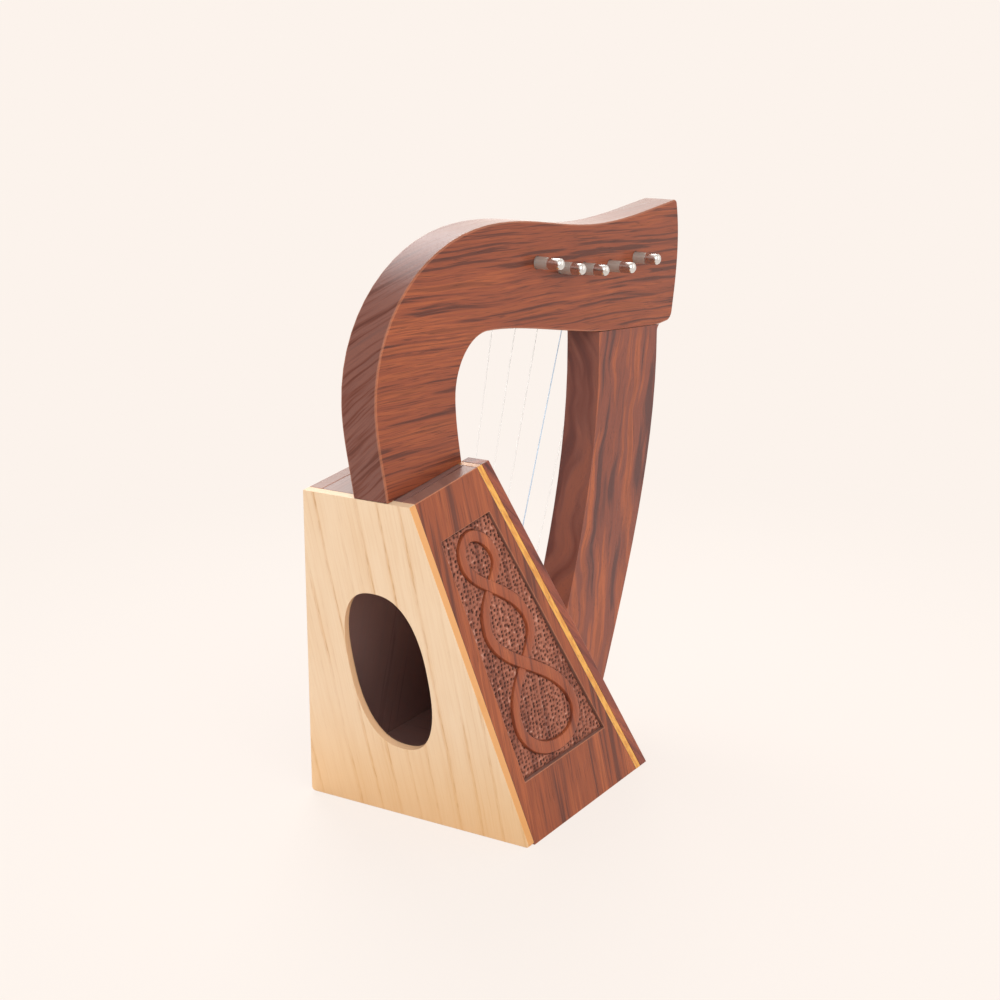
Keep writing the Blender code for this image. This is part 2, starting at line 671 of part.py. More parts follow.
def add_dowel(name, start, end, diameter, bored):
    """A dowel between two points, with a bore for it in each of the pieces it joins."""
    middle = (start + end) / 2
    run = end - start
    dowel = rods(name, [(start - middle, end - middle, diameter / 2)], DOWEL_SIDES)
    add_piece(name, dowel, DOWEL_WOOD, place=middle)
    spare = run.normalized() * GAP
    bore = add_cutter(name + "_bore", rods(
        name + "_bore", [(start - spare, end + spare, diameter / 2 + GAP)], DOWEL_SIDES))
    for piece in bored:
        combine(piece, bore, "DIFFERENCE")


def make_dowels(neck, pillar, box):
    """Dowels under the neck, over the pillar and through the pillar's foot."""
    for number, reach in enumerate(NECK_DOWEL_REACHES, 1):
        x = REAR_EDGE.x + reach
        seat = Vector((x, NECK_MIDDLE, top_height(x)))
        add_dowel(f"neck_dowel_{number}", seat - TOP[1] * NECK_DOWEL_DOWN, seat + TOP[1] * NECK_DOWEL_UP,
                  DOWEL_DIAMETER, [neck, box["top_block"]])
    for number, setback in enumerate(PILLAR_DOWEL_SETBACKS, 1):
        spot = JOINT_REAR + JOINT_ALONG * setback
        seat = Vector((spot.x, NECK_MIDDLE, spot.y))
        half = JOINT[1] * PILLAR_DOWEL_HALF
        add_dowel(f"pillar_dowel_{number}", seat - half, seat + half, DOWEL_DIAMETER, [neck, pillar])
    for number, hand in enumerate((-1, 1), 1):
        z = BASE_THICKNESS / 2
        y = NECK_MIDDLE + hand * FOOT_DOWEL_SPACING / 2
        seat = Vector((place_at(FRONT, z), y, z))
        add_dowel(f"foot_dowel_{number}", seat - Vector((FOOT_DOWEL_REAR, 0, 0)),
                  seat + Vector((FOOT_DOWEL_FRONT, 0, 0)), FOOT_DOWEL_DIAMETER,
                  [box["base_board"], box["soundboard"], pillar])


# Tuning pins and strings

def pin_mesh(name, head_length, hole_angle):
    """A tuning pin along Y about its own axis, with a squared head on the player's right."""
    head = NECK_RIGHT_FACE - NECK_MIDDLE - head_length
    tail = NECK_LEFT_FACE - NECK_MIDDLE + PIN_TAIL_LENGTH
    bm = bmesh.new()
    turn = Matrix.Translation((0, (head + tail) / 2, 0)) @ Matrix.Rotation(math.pi / 2, 4, "X")
    bmesh.ops.create_cone(bm, cap_ends=True, segments=PIN_SIDES, radius1=PIN_RADIUS, radius2=PIN_RADIUS,
                          depth=tail - head, matrix=turn)
    rims = [edge for edge in bm.edges if len({round(vert.co.y, 6) for vert in edge.verts}) == 1]
    bmesh.ops.bevel(bm, geom=rims, offset=PIN_END_ROUNDING, segments=4, profile=0.5, affect="EDGES")
    sink = PIN_RADIUS - PIN_ACROSS_FLATS / 2
    taper = math.atan2(sink, PIN_FLAT_LENGTH)
    for quarter in range(4):
        out = Matrix.Rotation(math.pi / 2 * quarter, 3, "Y") @ Vector((1, 0, 0))
        spot = out * (PIN_ACROSS_FLATS / 2) + Vector((0, head, 0))
        cut_to(bm, [face(spot, out * math.cos(taper) - Vector((0, math.sin(taper), 0)))])
    mesh = mesh_from(bm, name)
    through = Vector((math.cos(hole_angle), 0, math.sin(hole_angle))) * (PIN_DIAMETER + CUT_OVERRUN)
    level = Vector((0, winding_level(WINDING_TURNS), 0))
    drill = rods(name + "_hole", [(level - through, level + through, STRING_RADIUS + GAP)], 12)
    return mesh, drill


def winding_level(turns):
    """How far along the pin's axis a winding has run after some turns, from the neck's middle."""
    return STRING_PLANE - NECK_MIDDLE + WINDING_PITCH * (1 + turns)


def around(angle, radius, level):
    """A point round a pin's axis, the angle measured from forwards to upwards."""
    return Vector((radius * math.cos(angle), level, radius * math.sin(angle)))


def winding_points(start):
    """A winding's path about its pin: a straight lead-in, the turns and the end in the cross hole."""
    first = around(start, WRAP_RADIUS, winding_level(0))
    lead = Vector((-math.sin(start), 0, math.cos(start))) * STRING_DIAMETER
    points = [first + lead]
    steps = WINDING_TURNS * POINTS_PER_TURN
    for step in range(steps + 1):
        turns = step / POINTS_PER_TURN
        points.append(around(start - 2 * math.pi * turns, WRAP_RADIUS, winding_level(turns)))
    for inward in (0.6 * STRING_DIAMETER, 1.2 * STRING_DIAMETER, 2.4 * STRING_DIAMETER):
        points.append(around(start, WRAP_RADIUS - inward, winding_level(WINDING_TURNS)))
    return points


def least_gap(points, diameter):
    """The least clear space between two stretches of a wound tube, measured on its points."""
    apart = POINTS_PER_TURN // 2
    return min((points[j] - points[i]).length for i in range(len(points))
               for j in range(i + apart, len(points))) - diameter


def tangent_angle(centre, place):
    """Angle on a pin where a string from a place meets the pin's rear side."""
    away = place - centre
    spread = math.acos(WRAP_RADIUS / away.length)
    return max((math.atan2(away.y, away.x) + side * spread) % (2 * math.pi) for side in (-1, 1))


def string_points(pin, angle, anchor):
    """A string's path from its knot, through the rib and up to the pin, then partly round it."""
    knot_height = -(SOUNDBOARD_THICKNESS + 2 * GAP + INNER_RIB_THICKNESS)
    mouth_height = GAP + RIB_THICKNESS + GAP + EYELET_FLANGE_THICKNESS
    touch = Vector((pin.x, STRING_PLANE, pin.y)) + around(angle, WRAP_RADIUS, 0)
    mouth = front_point(anchor, mouth_height)
    bend = (FRONT[1] + (touch - mouth).normalized()).normalized() * STRING_DIAMETER
    path = [front_point(anchor, knot_height - depth * KNOT_DIAMETER) for depth in (1.0, 0.8, 0.5, 0.2, 0.0)]
    sizes = [0.5, 0.9, 1.0, 0.85, 0.4]
    radii = [size * KNOT_DIAMETER / STRING_DIAMETER for size in sizes]
    path += [front_point(anchor, knot_height + GAP), mouth, mouth + bend, touch]
    radii += [1.0] * 4
    steps = round(POINTS_PER_TURN * STRING_WRAP / (2 * math.pi))
    centre = Vector((pin.x, STRING_PLANE, pin.y))
    for step in range(1, steps + 1):
        path.append(centre + around(angle - STRING_WRAP * step / steps, WRAP_RADIUS, 0))
        radii.append(1.0)
    return path, radii


def eyelet_mesh(name):
    """A turned eyelet along Z with its flange on top, its collar reaching through the soundboard."""
    bore = EYELET_BORE / 2
    outer = bore + EYELET_WALL
    flange = EYELET_FLANGE_DIAMETER / 2
    foot = -(RIB_THICKNESS + 2 * GAP + SOUNDBOARD_THICKNESS)
    profile = [(bore, EYELET_FLANGE_THICKNESS), (flange, EYELET_FLANGE_THICKNESS), (flange, 0.0),
               (outer, 0.0), (outer, foot), (bore, foot)]
    bm = bmesh.new()
    ring = [bm.verts.new((x, 0, z)) for x, z in profile]
    for here, ahead in zip(ring, ring[1:] + ring[:1]):
        bm.edges.new((here, ahead))
    bmesh.ops.spin(bm, geom=bm.verts[:] + bm.edges[:], cent=(0, 0, 0), axis=(0, 0, 1),
                   angle=2 * math.pi, steps=EYELET_SIDES, use_merge=True)
    bmesh.ops.remove_doubles(bm, verts=bm.verts, dist=1e-6)
    bmesh.ops.recalc_face_normals(bm, faces=bm.faces)
    return mesh_from(bm, name)


def make_stringing(neck, box):
    """Five pins through the neck, with a string, a winding and an eyelet for each."""
    pin_bores, eyelet_bores, rib_bores = [], [], []
    square_to_front = FRONT[1].to_track_quat("Z", "Y")
    places = zip(PIN_REACHES, PIN_DROPS, PIN_HEAD_LENGTHS)
    for number, (reach, drop, head_length) in enumerate(places, 1):
        x = REAR_EDGE.x + reach
        pin = Vector((x, neck_top(x) - drop))
        anchor = ANCHOR_FIRST + ANCHOR_SPACING * (len(PIN_REACHES) - number)
        hole = front_point(anchor)
        angle = tangent_angle(pin, Vector((hole.x, hole.z)))
        look = BLUE_NYLON if number == 4 else CLEAR_NYLON
        start = angle - STRING_WRAP
        mesh, drill = pin_mesh(f"tuning_pin_{number}", head_length, start)
        place = Vector((pin.x, NECK_MIDDLE, pin.y))
        peg = add_piece(f"tuning_pin_{number}", mesh, NICKEL, place=place)
        drill.transform(Matrix.Translation(place))
        combine(peg, add_cutter(f"pin_{number}_string_hole", drill), "DIFFERENCE")
        coil = winding_points(start)
        print(f"winding {number}: least gap {least_gap(coil, STRING_DIAMETER) / MM:.2f} mm")
        add_piece(f"string_winding_{number}", tube(f"string_winding_{number}", coil, STRING_RADIUS, 1),
                  look, parent=peg)
        path, radii = string_points(pin, angle, anchor)
        add_piece(f"string_{number}", tube(f"string_{number}", path, STRING_RADIUS, 2, radii), look)
        eyelet = add_piece(f"string_eyelet_{number}", eyelet_mesh(f"string_eyelet_{number}"), BRASS,
                           place=front_point(anchor, GAP + RIB_THICKNESS + GAP))
        eyelet.rotation_euler = square_to_front.to_euler()
        through = Vector((0, NECK_THICKNESS / 2 + CUT_OVERRUN, 0))
        pin_bores.append((place - through, place + through, PIN_RADIUS + GAP))
        eyelet_bores.append((front_point(anchor, -SOUNDBOARD_THICKNESS - CUT_OVERRUN),
                             front_point(anchor, RIB_THICKNESS + CUT_OVERRUN),
                             EYELET_BORE / 2 + EYELET_WALL + GAP))
        rib_bores.append((front_point(anchor, -SOUNDBOARD_THICKNESS - INNER_RIB_THICKNESS - CUT_OVERRUN),
                          front_point(anchor), EYELET_BORE / 2))
    combine(neck, add_cutter("pin_bores", rods("pin_bores", pin_bores, PIN_SIDES)), "DIFFERENCE")
    eyelet_cut = add_cutter("eyelet_bores", rods("eyelet_bores", eyelet_bores, EYELET_SIDES))
    combine(box["soundboard"], eyelet_cut, "DIFFERENCE")
    combine(box["string_rib"], eyelet_cut, "DIFFERENCE")
    rib_cut = add_cutter("inner_rib_bores", rods("inner_rib_bores", rib_bores, EYELET_SIDES))
    combine(box["inner_rib"], rib_cut, "DIFFERENCE")


def centre_on_floor(neck):
    """Moves the harp so that the origin is under the middle of its length."""
    reach = [vert.co.x for vert in neck.data.vertices]
    ORIGIN.location.x = -(min(reach) + max(reach)) / 2


def main():
    """Builds every piece of the harp."""
    box = make_soundbox()
    neck, pillar = make_frame()
    make_dowels(neck, pillar, box)
    make_stringing(neck, box)
    centre_on_floor(neck)
    bpy.context.view_layer.update()


main()
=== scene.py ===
"""Looks of a five-string lap harp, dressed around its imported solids.

The frame is +X forwards from the player to the pillar, +Y to the player's left and +Z up, in
metres. Boards and metal pieces are eased copies of the solids, apart from the side panels, which
are drawn from the soundbox's faces. The carved strands and grounds, the strings and their windings
are grown by Geometry Nodes. Every finish is procedural.
"""

import logging
import math
from collections.abc import Callable
from dataclasses import dataclass
from enum import Enum
from functools import cache

import bmesh
import bpy
from mathutils import Matrix, Vector
from mathutils.bvhtree import BVHTree


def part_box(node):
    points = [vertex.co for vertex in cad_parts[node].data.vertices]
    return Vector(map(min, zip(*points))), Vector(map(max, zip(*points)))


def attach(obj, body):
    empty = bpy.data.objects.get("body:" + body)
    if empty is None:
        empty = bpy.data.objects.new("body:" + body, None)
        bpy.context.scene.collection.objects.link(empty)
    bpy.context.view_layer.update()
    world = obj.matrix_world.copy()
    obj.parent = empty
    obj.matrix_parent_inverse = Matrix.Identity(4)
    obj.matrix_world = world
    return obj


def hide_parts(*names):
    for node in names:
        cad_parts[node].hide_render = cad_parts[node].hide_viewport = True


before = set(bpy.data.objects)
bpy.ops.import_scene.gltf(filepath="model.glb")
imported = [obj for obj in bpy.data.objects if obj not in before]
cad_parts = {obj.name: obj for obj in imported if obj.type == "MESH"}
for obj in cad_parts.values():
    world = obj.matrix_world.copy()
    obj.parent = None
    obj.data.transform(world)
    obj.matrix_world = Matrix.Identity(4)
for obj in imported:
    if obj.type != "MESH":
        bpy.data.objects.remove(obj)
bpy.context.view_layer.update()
LOG = logging.getLogger("lap_harp")

MM = 0.001
HARP_BODY = "harp_frame"
WOODEN = ("back_panel", "soundboard", "side_panel_right", "side_panel_left", "base_board", "top_block",
          "trim_right", "trim_left", "string_rib", "neck", "pillar")

# Attributes that the meshes carry for their finishes
# Rounded edges: lighter for wear, and as a painted edge highlight
WEAR_AND_HIGHLIGHT = "edge_wear"
PIT = "pit"
SWELL = "swell"

# Limits for reading the solids
WELD = 1e-6
FLATNESS = math.radians(0.4)
OUTWARD_EDGE = math.radians(28)
ON_FACE = 0.1 * MM
NEARLY_ALONG = 0.9

Socket = bpy.types.NodeSocket
Material = bpy.types.Material
Mesh = bpy.types.Mesh
Shape = bmesh.types.BMesh
Edge = bmesh.types.BMEdge
EdgeTest = Callable[[Edge], bool]
Colour = tuple[float, float, float]
Axis = tuple[float, float, float]
Bend = tuple[float, float, float]
Span = tuple[float, float]
Feed = Socket | bpy.types.ID | float | int | bool | str | tuple
Feeds = dict[str | int, Feed]


class Hand(Enum):
    """The two sides of the harp, as signs along Y."""

    RIGHT = -1
    LEFT = 1


class Slot(Enum):
    """Names of material slots, which the builders take but do not use."""

    DARK_WOOD = "dark_wood"
    PILLAR_WOOD = "pillar_wood"
    PALE_WOOD = "pale_wood"
    SOUNDBOARD = "soundboard_ply"
    DOWEL = "dowel_wood"
    NICKEL = "nickel_plate"
    BRASS = "brass"
    CLEAR_NYLON = "clear_nylon"
    BLUE_NYLON = "blue_nylon"


def shade(*parts: int) -> Colour:
    """A display colour, 0 to 255 for each of red, green and blue, as the linear colour that shaders take."""
    shares = [part / 255 for part in parts]
    return tuple(share / 12.92 if share <= 0.04045 else ((share + 0.055) / 1.055) ** 2.4 for share in shares)


class Graph:
    """A node tree under construction, with short calls that add and link nodes."""

    def __init__(self, tree: bpy.types.NodeTree) -> None:
        """Keeps the tree that the calls add to."""
        self.tree = tree

    def add(self, kind: str, feeds: Feeds | None = None, **settings: object) -> bpy.types.Node:
        """Adds a node.

        Args:
            kind: Blender's name of the node's type.
            feeds: What goes into its inputs, by name or place: a socket to link or a plain value.
            settings: The node's own properties.

        Returns:
            The new node.
        """
        node = self.tree.nodes.new(kind)
        for name, value in settings.items():
            setattr(node, name, value)
        for place, value in (feeds or {}).items():
            self.feed(node.inputs[place], value)
        return node

    def first(self, kind: str, feeds: Feeds | None = None, **settings: object) -> Socket:
        """Adds a node in the same way, and gives its first output."""
        return self.add(kind, feeds, **settings).outputs[0]

    def feed(self, socket: Socket, value: Feed) -> None:
        """Links a socket to an input, or sets the input to a plain value.

        Args:
            socket: The input.
            value: The socket to link or the plain value.
        """
        if isinstance(value, Socket):
            self.tree.links.new(value, socket)
        elif socket.type == "RGBA" and len(value) == 3:
            socket.default_value = (*value, 1.0)
        else:
            socket.default_value = value

    def maths(self, operation: str, *values: Feed) -> Socket:
        """One operation on plain numbers."""
        return self.first("ShaderNodeMath", dict(enumerate(values)), operation=operation)

    def times(self, number: Feed, other: Feed) -> Socket:
        """The product of two numbers."""
        return self.maths("MULTIPLY", number, other)

    def vector(self, operation: str, *values: Feed, result: str = "Vector") -> Socket:
        """One operation on vectors, whose result is a Vector or a plain Value."""
        node = self.add("ShaderNodeVectorMath", dict(enumerate(values)), operation=operation)
        return node.outputs[result]

    def parts(self, vector: Feed) -> tuple[Socket, ...]:
        """The three parts of a vector."""
        return tuple(self.add("ShaderNodeSeparateXYZ", {0: vector}).outputs)

    def remap(self, value: Feed, low: Feed, high: Feed, to_low: Feed = 0.0, to_high: Feed = 1.0) -> Socket:
        """A value eased from one span, low to high, to another, and kept inside it."""
        feeds = dict(enumerate((value, low, high, to_low, to_high)))
        return self.first("ShaderNodeMapRange", feeds, interpolation_type="SMOOTHSTEP")

    def noise(self, place: Feed, detail: float = 2.0, roughness: float = 0.5,
              colour: bool = False) -> Socket:
        """Smooth noise at unit scale, as one number or as a colour."""
        feeds = {"Vector": place, "Scale": 1.0, "Detail": detail, "Roughness": roughness}
        return self.add("ShaderNodeTexNoise", feeds).outputs["Color" if colour else "Fac"]


@dataclass(frozen=True)
class Figure:
    """A feature of a wood's figure.

    Its length runs along the grain and its width across the layers of growth. Spread is how many widths
    it reaches within a layer. Detail is how many finer layers it has, and roughness how strong those are.
    """

    length: float
    width: float
    spread: float = 1.0
    detail: float = 2.0
    roughness: float = 0.5


class Shader(Graph):
    """A material under construction."""

    squarely: Span = (0.6, 0.9)
    turned: Span = (0.25, 0.85)
    raw_share: float = 0.85

    def __init__(self, name: str) -> None:
        """Starts a material with a plain surface.

        Args:
            name: The material's name.
        """
        self.material = bpy.data.materials.new(name)
        self.material.use_nodes = True
        super().__init__(self.material.node_tree)
        self.surface = self.tree.nodes["Principled BSDF"]

    def spot(self) -> Socket:
        """Object coordinates."""
        return self.add("ShaderNodeTexCoord").outputs["Object"]

    def along(self, grain: Axis, layers: Axis, seed: float) -> Socket:
        """Object coordinates turned so that X runs along the grain and Y across its layers.

        Args:
            grain: Direction of the grain.
            layers: Direction across the layers of growth, roughly square to the grain.
            seed: Shift that gives each board its own figure.

        Returns:
            The socket with the coordinates.
        """
        first = Vector(grain).normalized()
        third = first.cross(Vector(layers)).normalized()
        turn = Matrix((first, third.cross(first), third)).to_euler()
        shift = (seed, 0.37 * seed, 0.71 * seed)
        return self.first("ShaderNodeMapping", {
            "Vector": self.spot(), "Rotation": tuple(turn), "Location": shift})

    def figured(self, place: Feed, figure: Figure, colour: bool = False) -> Socket:
        """Noise in the size of a feature, at coordinates along the grain."""
        scale = (1 / figure.length, 1 / figure.width, 1 / (figure.width * figure.spread))
        return self.noise(self.vector("MULTIPLY", place, scale), figure.detail, figure.roughness, colour)

    def swayed(self, place: Feed, length: float, width: float, reach: float) -> Socket:
        """Coordinates that wander across the grain, as the fibres of a real board do.

        Args:
            place: The straight coordinates.
            length: Length of a bend along the grain.
            width: How far across the board neighbouring fibres bend alike.
            reach: How far a bend goes to either side.

        Returns:
            The socket with the bent coordinates.
        """
        bends = self.figured(place, Figure(length, width, detail=1.5), colour=True)
        centred = self.vector("SUBTRACT", bends, (0.5, 0.5, 0.5))
        return self.vector("ADD", place, self.vector("MULTIPLY", centred, (0.0, 2 * reach, 2 * reach)))

    def tint(self, share: Feed, colour: Feed, other: Feed) -> Socket:
        """A colour that has gone over to another by a share.

        Args:
            share: How far it has gone, from 0 to 1.
            colour: The colour.
            other: What it goes over to.

        Returns:
            The socket with the mixed colour.
        """
        feeds = {"Factor_Float": share, "A_Color": colour, "B_Color": other}
        node = self.add("ShaderNodeMix", data_type="RGBA")
        for socket in node.inputs:
            if socket.identifier in feeds:
                self.feed(socket, feeds[socket.identifier])
        return node.outputs[2]

    def over(self, colour: Feed, other: Feed, mask: Feed, share: float) -> Socket:
        """A colour with a share of another laid over it where a mask is 1."""
        return self.tint(self.times(mask, share), colour, other)

    def veiled(self, colour: Feed, other: Feed, value: Feed, span: Span, share: float) -> Socket:
        """A colour that goes over to another, by a share, as a value crosses a span."""
        return self.tint(self.remap(value, *span, 0.0, share), colour, other)

    def ramp(self, value: Feed, places: tuple[float, ...], colours: tuple[Colour, ...]) -> Socket:
        """A colour that follows a value through colours at their places.

        Args:
            value: The value.
            places: Values at which the colours stand, in rising order.
            colours: The colours.

        Returns:
            The socket with the colour.
        """
        node = self.add("ShaderNodeValToRGB", {0: value})
        elements = node.color_ramp.elements
        while len(elements) < len(places):
            elements.new(1.0)
        for element, place, colour in zip(elements, places, colours):
            element.position = place
            element.color = (*colour, 1.0)
        return node.outputs["Color"]

    def faces_along(self, direction: Axis) -> Socket:
        """How squarely a face looks along a direction, from -1 to 1.

        Args:
            direction: The direction, of any length.

        Returns:
            The socket with the number.
        """
        normal = self.add("ShaderNodeNewGeometry").outputs["Normal"]
        unit = tuple(Vector(direction).normalized())
        return self.vector("DOT_PRODUCT", normal, unit, result="Value")

    def faces_either_way(self, direction: Axis) -> Socket:
        """How squarely a face looks along a direction or against it, from 0 to 1."""
        return self.maths("ABSOLUTE", self.faces_along(direction))

    def turned_from(self, facing: Axis) -> Socket:
        """How far a face is turned from a direction or its opposite, from 0 to 1."""
        return self.remap(self.faces_either_way(facing), *self.turned, 1.0, 0.0)

    def end_grain(self, grain: Axis) -> Socket:
        """How far a face cuts across the grain, from 0 to 1."""
        return self.remap(self.faces_either_way(grain), *self.squarely)

    def raw(self, colour: Socket, inside: Axis | None) -> Socket:
        """A board's colour with bare wood on the face that looks into the box, if it has one.

        Args:
            colour: The board's colour.
            inside: Direction into the box, or none.

        Returns:
            The socket with the colour.
        """
        if inside is None:
            return colour
        return self.veiled(colour, RAW_WOOD, self.faces_along(inside), self.squarely, self.raw_share)

    def marked(self, attribute: str) -> Socket:
        """A mark that the mesh carries for its finish."""
        return self.add("ShaderNodeAttribute", attribute_name=attribute).outputs["Fac"]

    def bump(self, height: Feed, strength: float, depth: float) -> Socket:
        """A normal that is tilted by a height."""
        return self.first("ShaderNodeBump", {"Height": height, "Strength": strength, "Distance": depth})

    def dress(self, feeds: dict[str, Feed]) -> Material:
        """Sets the surface's inputs and gives the material.

        Args:
            feeds: What goes into each named input.

        Returns:
            The finished material.
        """
        for name, value in feeds.items():
            self.feed(self.surface.inputs[name], value)
        return self.material


# Finishes

# Where most of a noise's values lie
MOST_NOISE = (0.2, 0.8)

RAW_WOOD = shade(190, 156, 150)
# Lighter colour of rounded edges: wear, and a painted edge highlight
WORN_HIGHLIT_WOOD = shade(208, 140, 106)
# Painted highlight on the crests of a carved ground
CREST_HIGHLIGHT_WOOD = shade(218, 164, 144)
# Stain and painted shade in carved dots, and painted shade in grooves and on walls
PIT_STAIN_AND_SHADE = shade(60, 33, 27)


@dataclass(frozen=True)
class RoseWood:
    """An oiled red-brown wood with bands, streaks and open pores along its grain."""

    name: str
    grain: Axis
    layers: Axis = (0.0, 0.64, 0.77)
    light: Colour = shade(176, 93, 54)
    middle: Colour = shade(146, 73, 46)
    dark: Colour = shade(98, 48, 34)
    pore: Colour = shade(54, 25, 18)
    stops: tuple[float, ...] = (0.4, 0.46, 0.51, 0.58)
    band_length: float = 150 * MM
    band_width: float = 9 * MM
    band_spread: float = 14.0
    band_share: float = 0.45
    line_length: float = 130 * MM
    line_width: float = 2.5 * MM
    line_texture: tuple[float, float, float] = (25.0, 2.5, 0.55)
    veins: Figure = Figure(170 * MM, 1.3 * MM, 30.0, 0.0)
    fibres: Figure = Figure(22 * MM, 0.5 * MM, 4.0, 1.0)
    dashes: Figure = Figure(14 * MM, 0.5 * MM, 1.0, 0.0)
    streak: float = 0.55
    streak_span: Span = (0.56, 0.68)
    vein: float = 0.45
    vein_span: Span = (0.66, 0.76)
    fibre: float = 0.16
    fibre_span: Span = (0.3, 0.75)
    pore_share: float = 0.4
    pore_span: Span = (0.64, 0.76)
    sway: float = 2.5 * MM
    sway_length: float = 0.6
    sway_width: float = 3.0
    gloss: float = 0.3
    gloss_change: Span = (-0.04, 0.1)
    shine: float = 0.22
    fibre_height: float = 0.4
    relief: Span = (0.12, 0.3 * MM)
    seed: float = 0.0
    facing: Axis | None = None
    # Painted sheen and shade: the tone of faces turned from the facing direction
    edge_sheen_and_shade: Colour = shade(122, 86, 79)
    edge_share: float = 0.75
    edge_streak: float = 0.75
    edge_span: Span = (0.42, 0.54)
    wear_and_highlight: float = 0.3
    inside: Axis | None = None
    carved: bool = False
    # Painted highlight on the crests of a carved ground
    crest: float = 0.55
    glint_crest_span: Span = (-0.4, -0.05)
    # Stain and painted shade in carved hollows
    pit: float = 0.93
    pit_shade_span: Span = (0.1, 0.9)

    @cache
    def material(self) -> Material:
        """The wood as a material.

        Returns:
            The material.
        """
        shader = Shader(self.name)
        straight = shader.along(self.grain, self.layers, self.seed)
        place = shader.swayed(straight, self.band_length * self.sway_length,
                              self.band_width * self.sway_width, self.sway)
        bands = shader.figured(place, Figure(self.band_length, self.band_width, self.band_spread))
        lines = shader.figured(place, Figure(self.line_length, self.line_width, *self.line_texture))
        veins = shader.figured(place, self.veins)
        fibres = shader.figured(place, self.fibres)
        pores = shader.remap(shader.figured(place, self.dashes), *self.pore_span)
        fine = shader.times(lines, 1.0 - self.band_share)
        mixed = shader.maths("MULTIPLY_ADD", bands, self.band_share, fine)
        colour = shader.ramp(mixed, self.stops, (self.dark, self.middle, self.middle, self.light))
        colour = shader.veiled(colour, self.dark, lines, self.streak_span, self.streak)
        colour = shader.veiled(colour, self.dark, veins, self.vein_span, self.vein)
        colour = shader.veiled(colour, self.pore, fibres, self.fibre_span, self.fibre)
        colour = shader.over(colour, self.pore, pores, self.pore_share)
        # Faces turned from the facing direction take a greyer tone, as painted sheen and shade
        if self.facing:
            streaks = shader.remap(mixed, *self.edge_span, self.edge_streak, 0.0)
            edge = shader.tint(streaks, self.edge_sheen_and_shade, self.dark)
            colour = shader.over(colour, edge, shader.turned_from(self.facing), self.edge_share)
        colour = shader.raw(colour, self.inside)
        # Rounded edges go lighter: wear, and a painted edge highlight
        colour = shader.over(colour, WORN_HIGHLIT_WOOD, shader.marked(WEAR_AND_HIGHLIGHT), self.wear_and_highlight)
        if self.carved:
            depth = shader.marked(PIT)
            # Crests, where the mark is below zero, take a painted highlight
            colour = shader.tint(shader.remap(depth, *self.glint_crest_span, self.crest, 0.0), colour, CREST_HIGHLIGHT_WOOD)
            # Dots take stain and painted shade; grooves and walls take painted shade
            colour = shader.veiled(colour, PIT_STAIN_AND_SHADE, depth, self.pit_shade_span, self.pit)
        height = shader.maths("SUBTRACT", shader.times(fibres, self.fibre_height), pores)
        roughness = (self.gloss + change for change in self.gloss_change)
        return shader.dress({
            "Base Color": colour,
            "Roughness": shader.remap(lines, *MOST_NOISE, *roughness),
            "Normal": shader.bump(height, *self.relief),
            "Specular IOR Level": self.shine,
        })


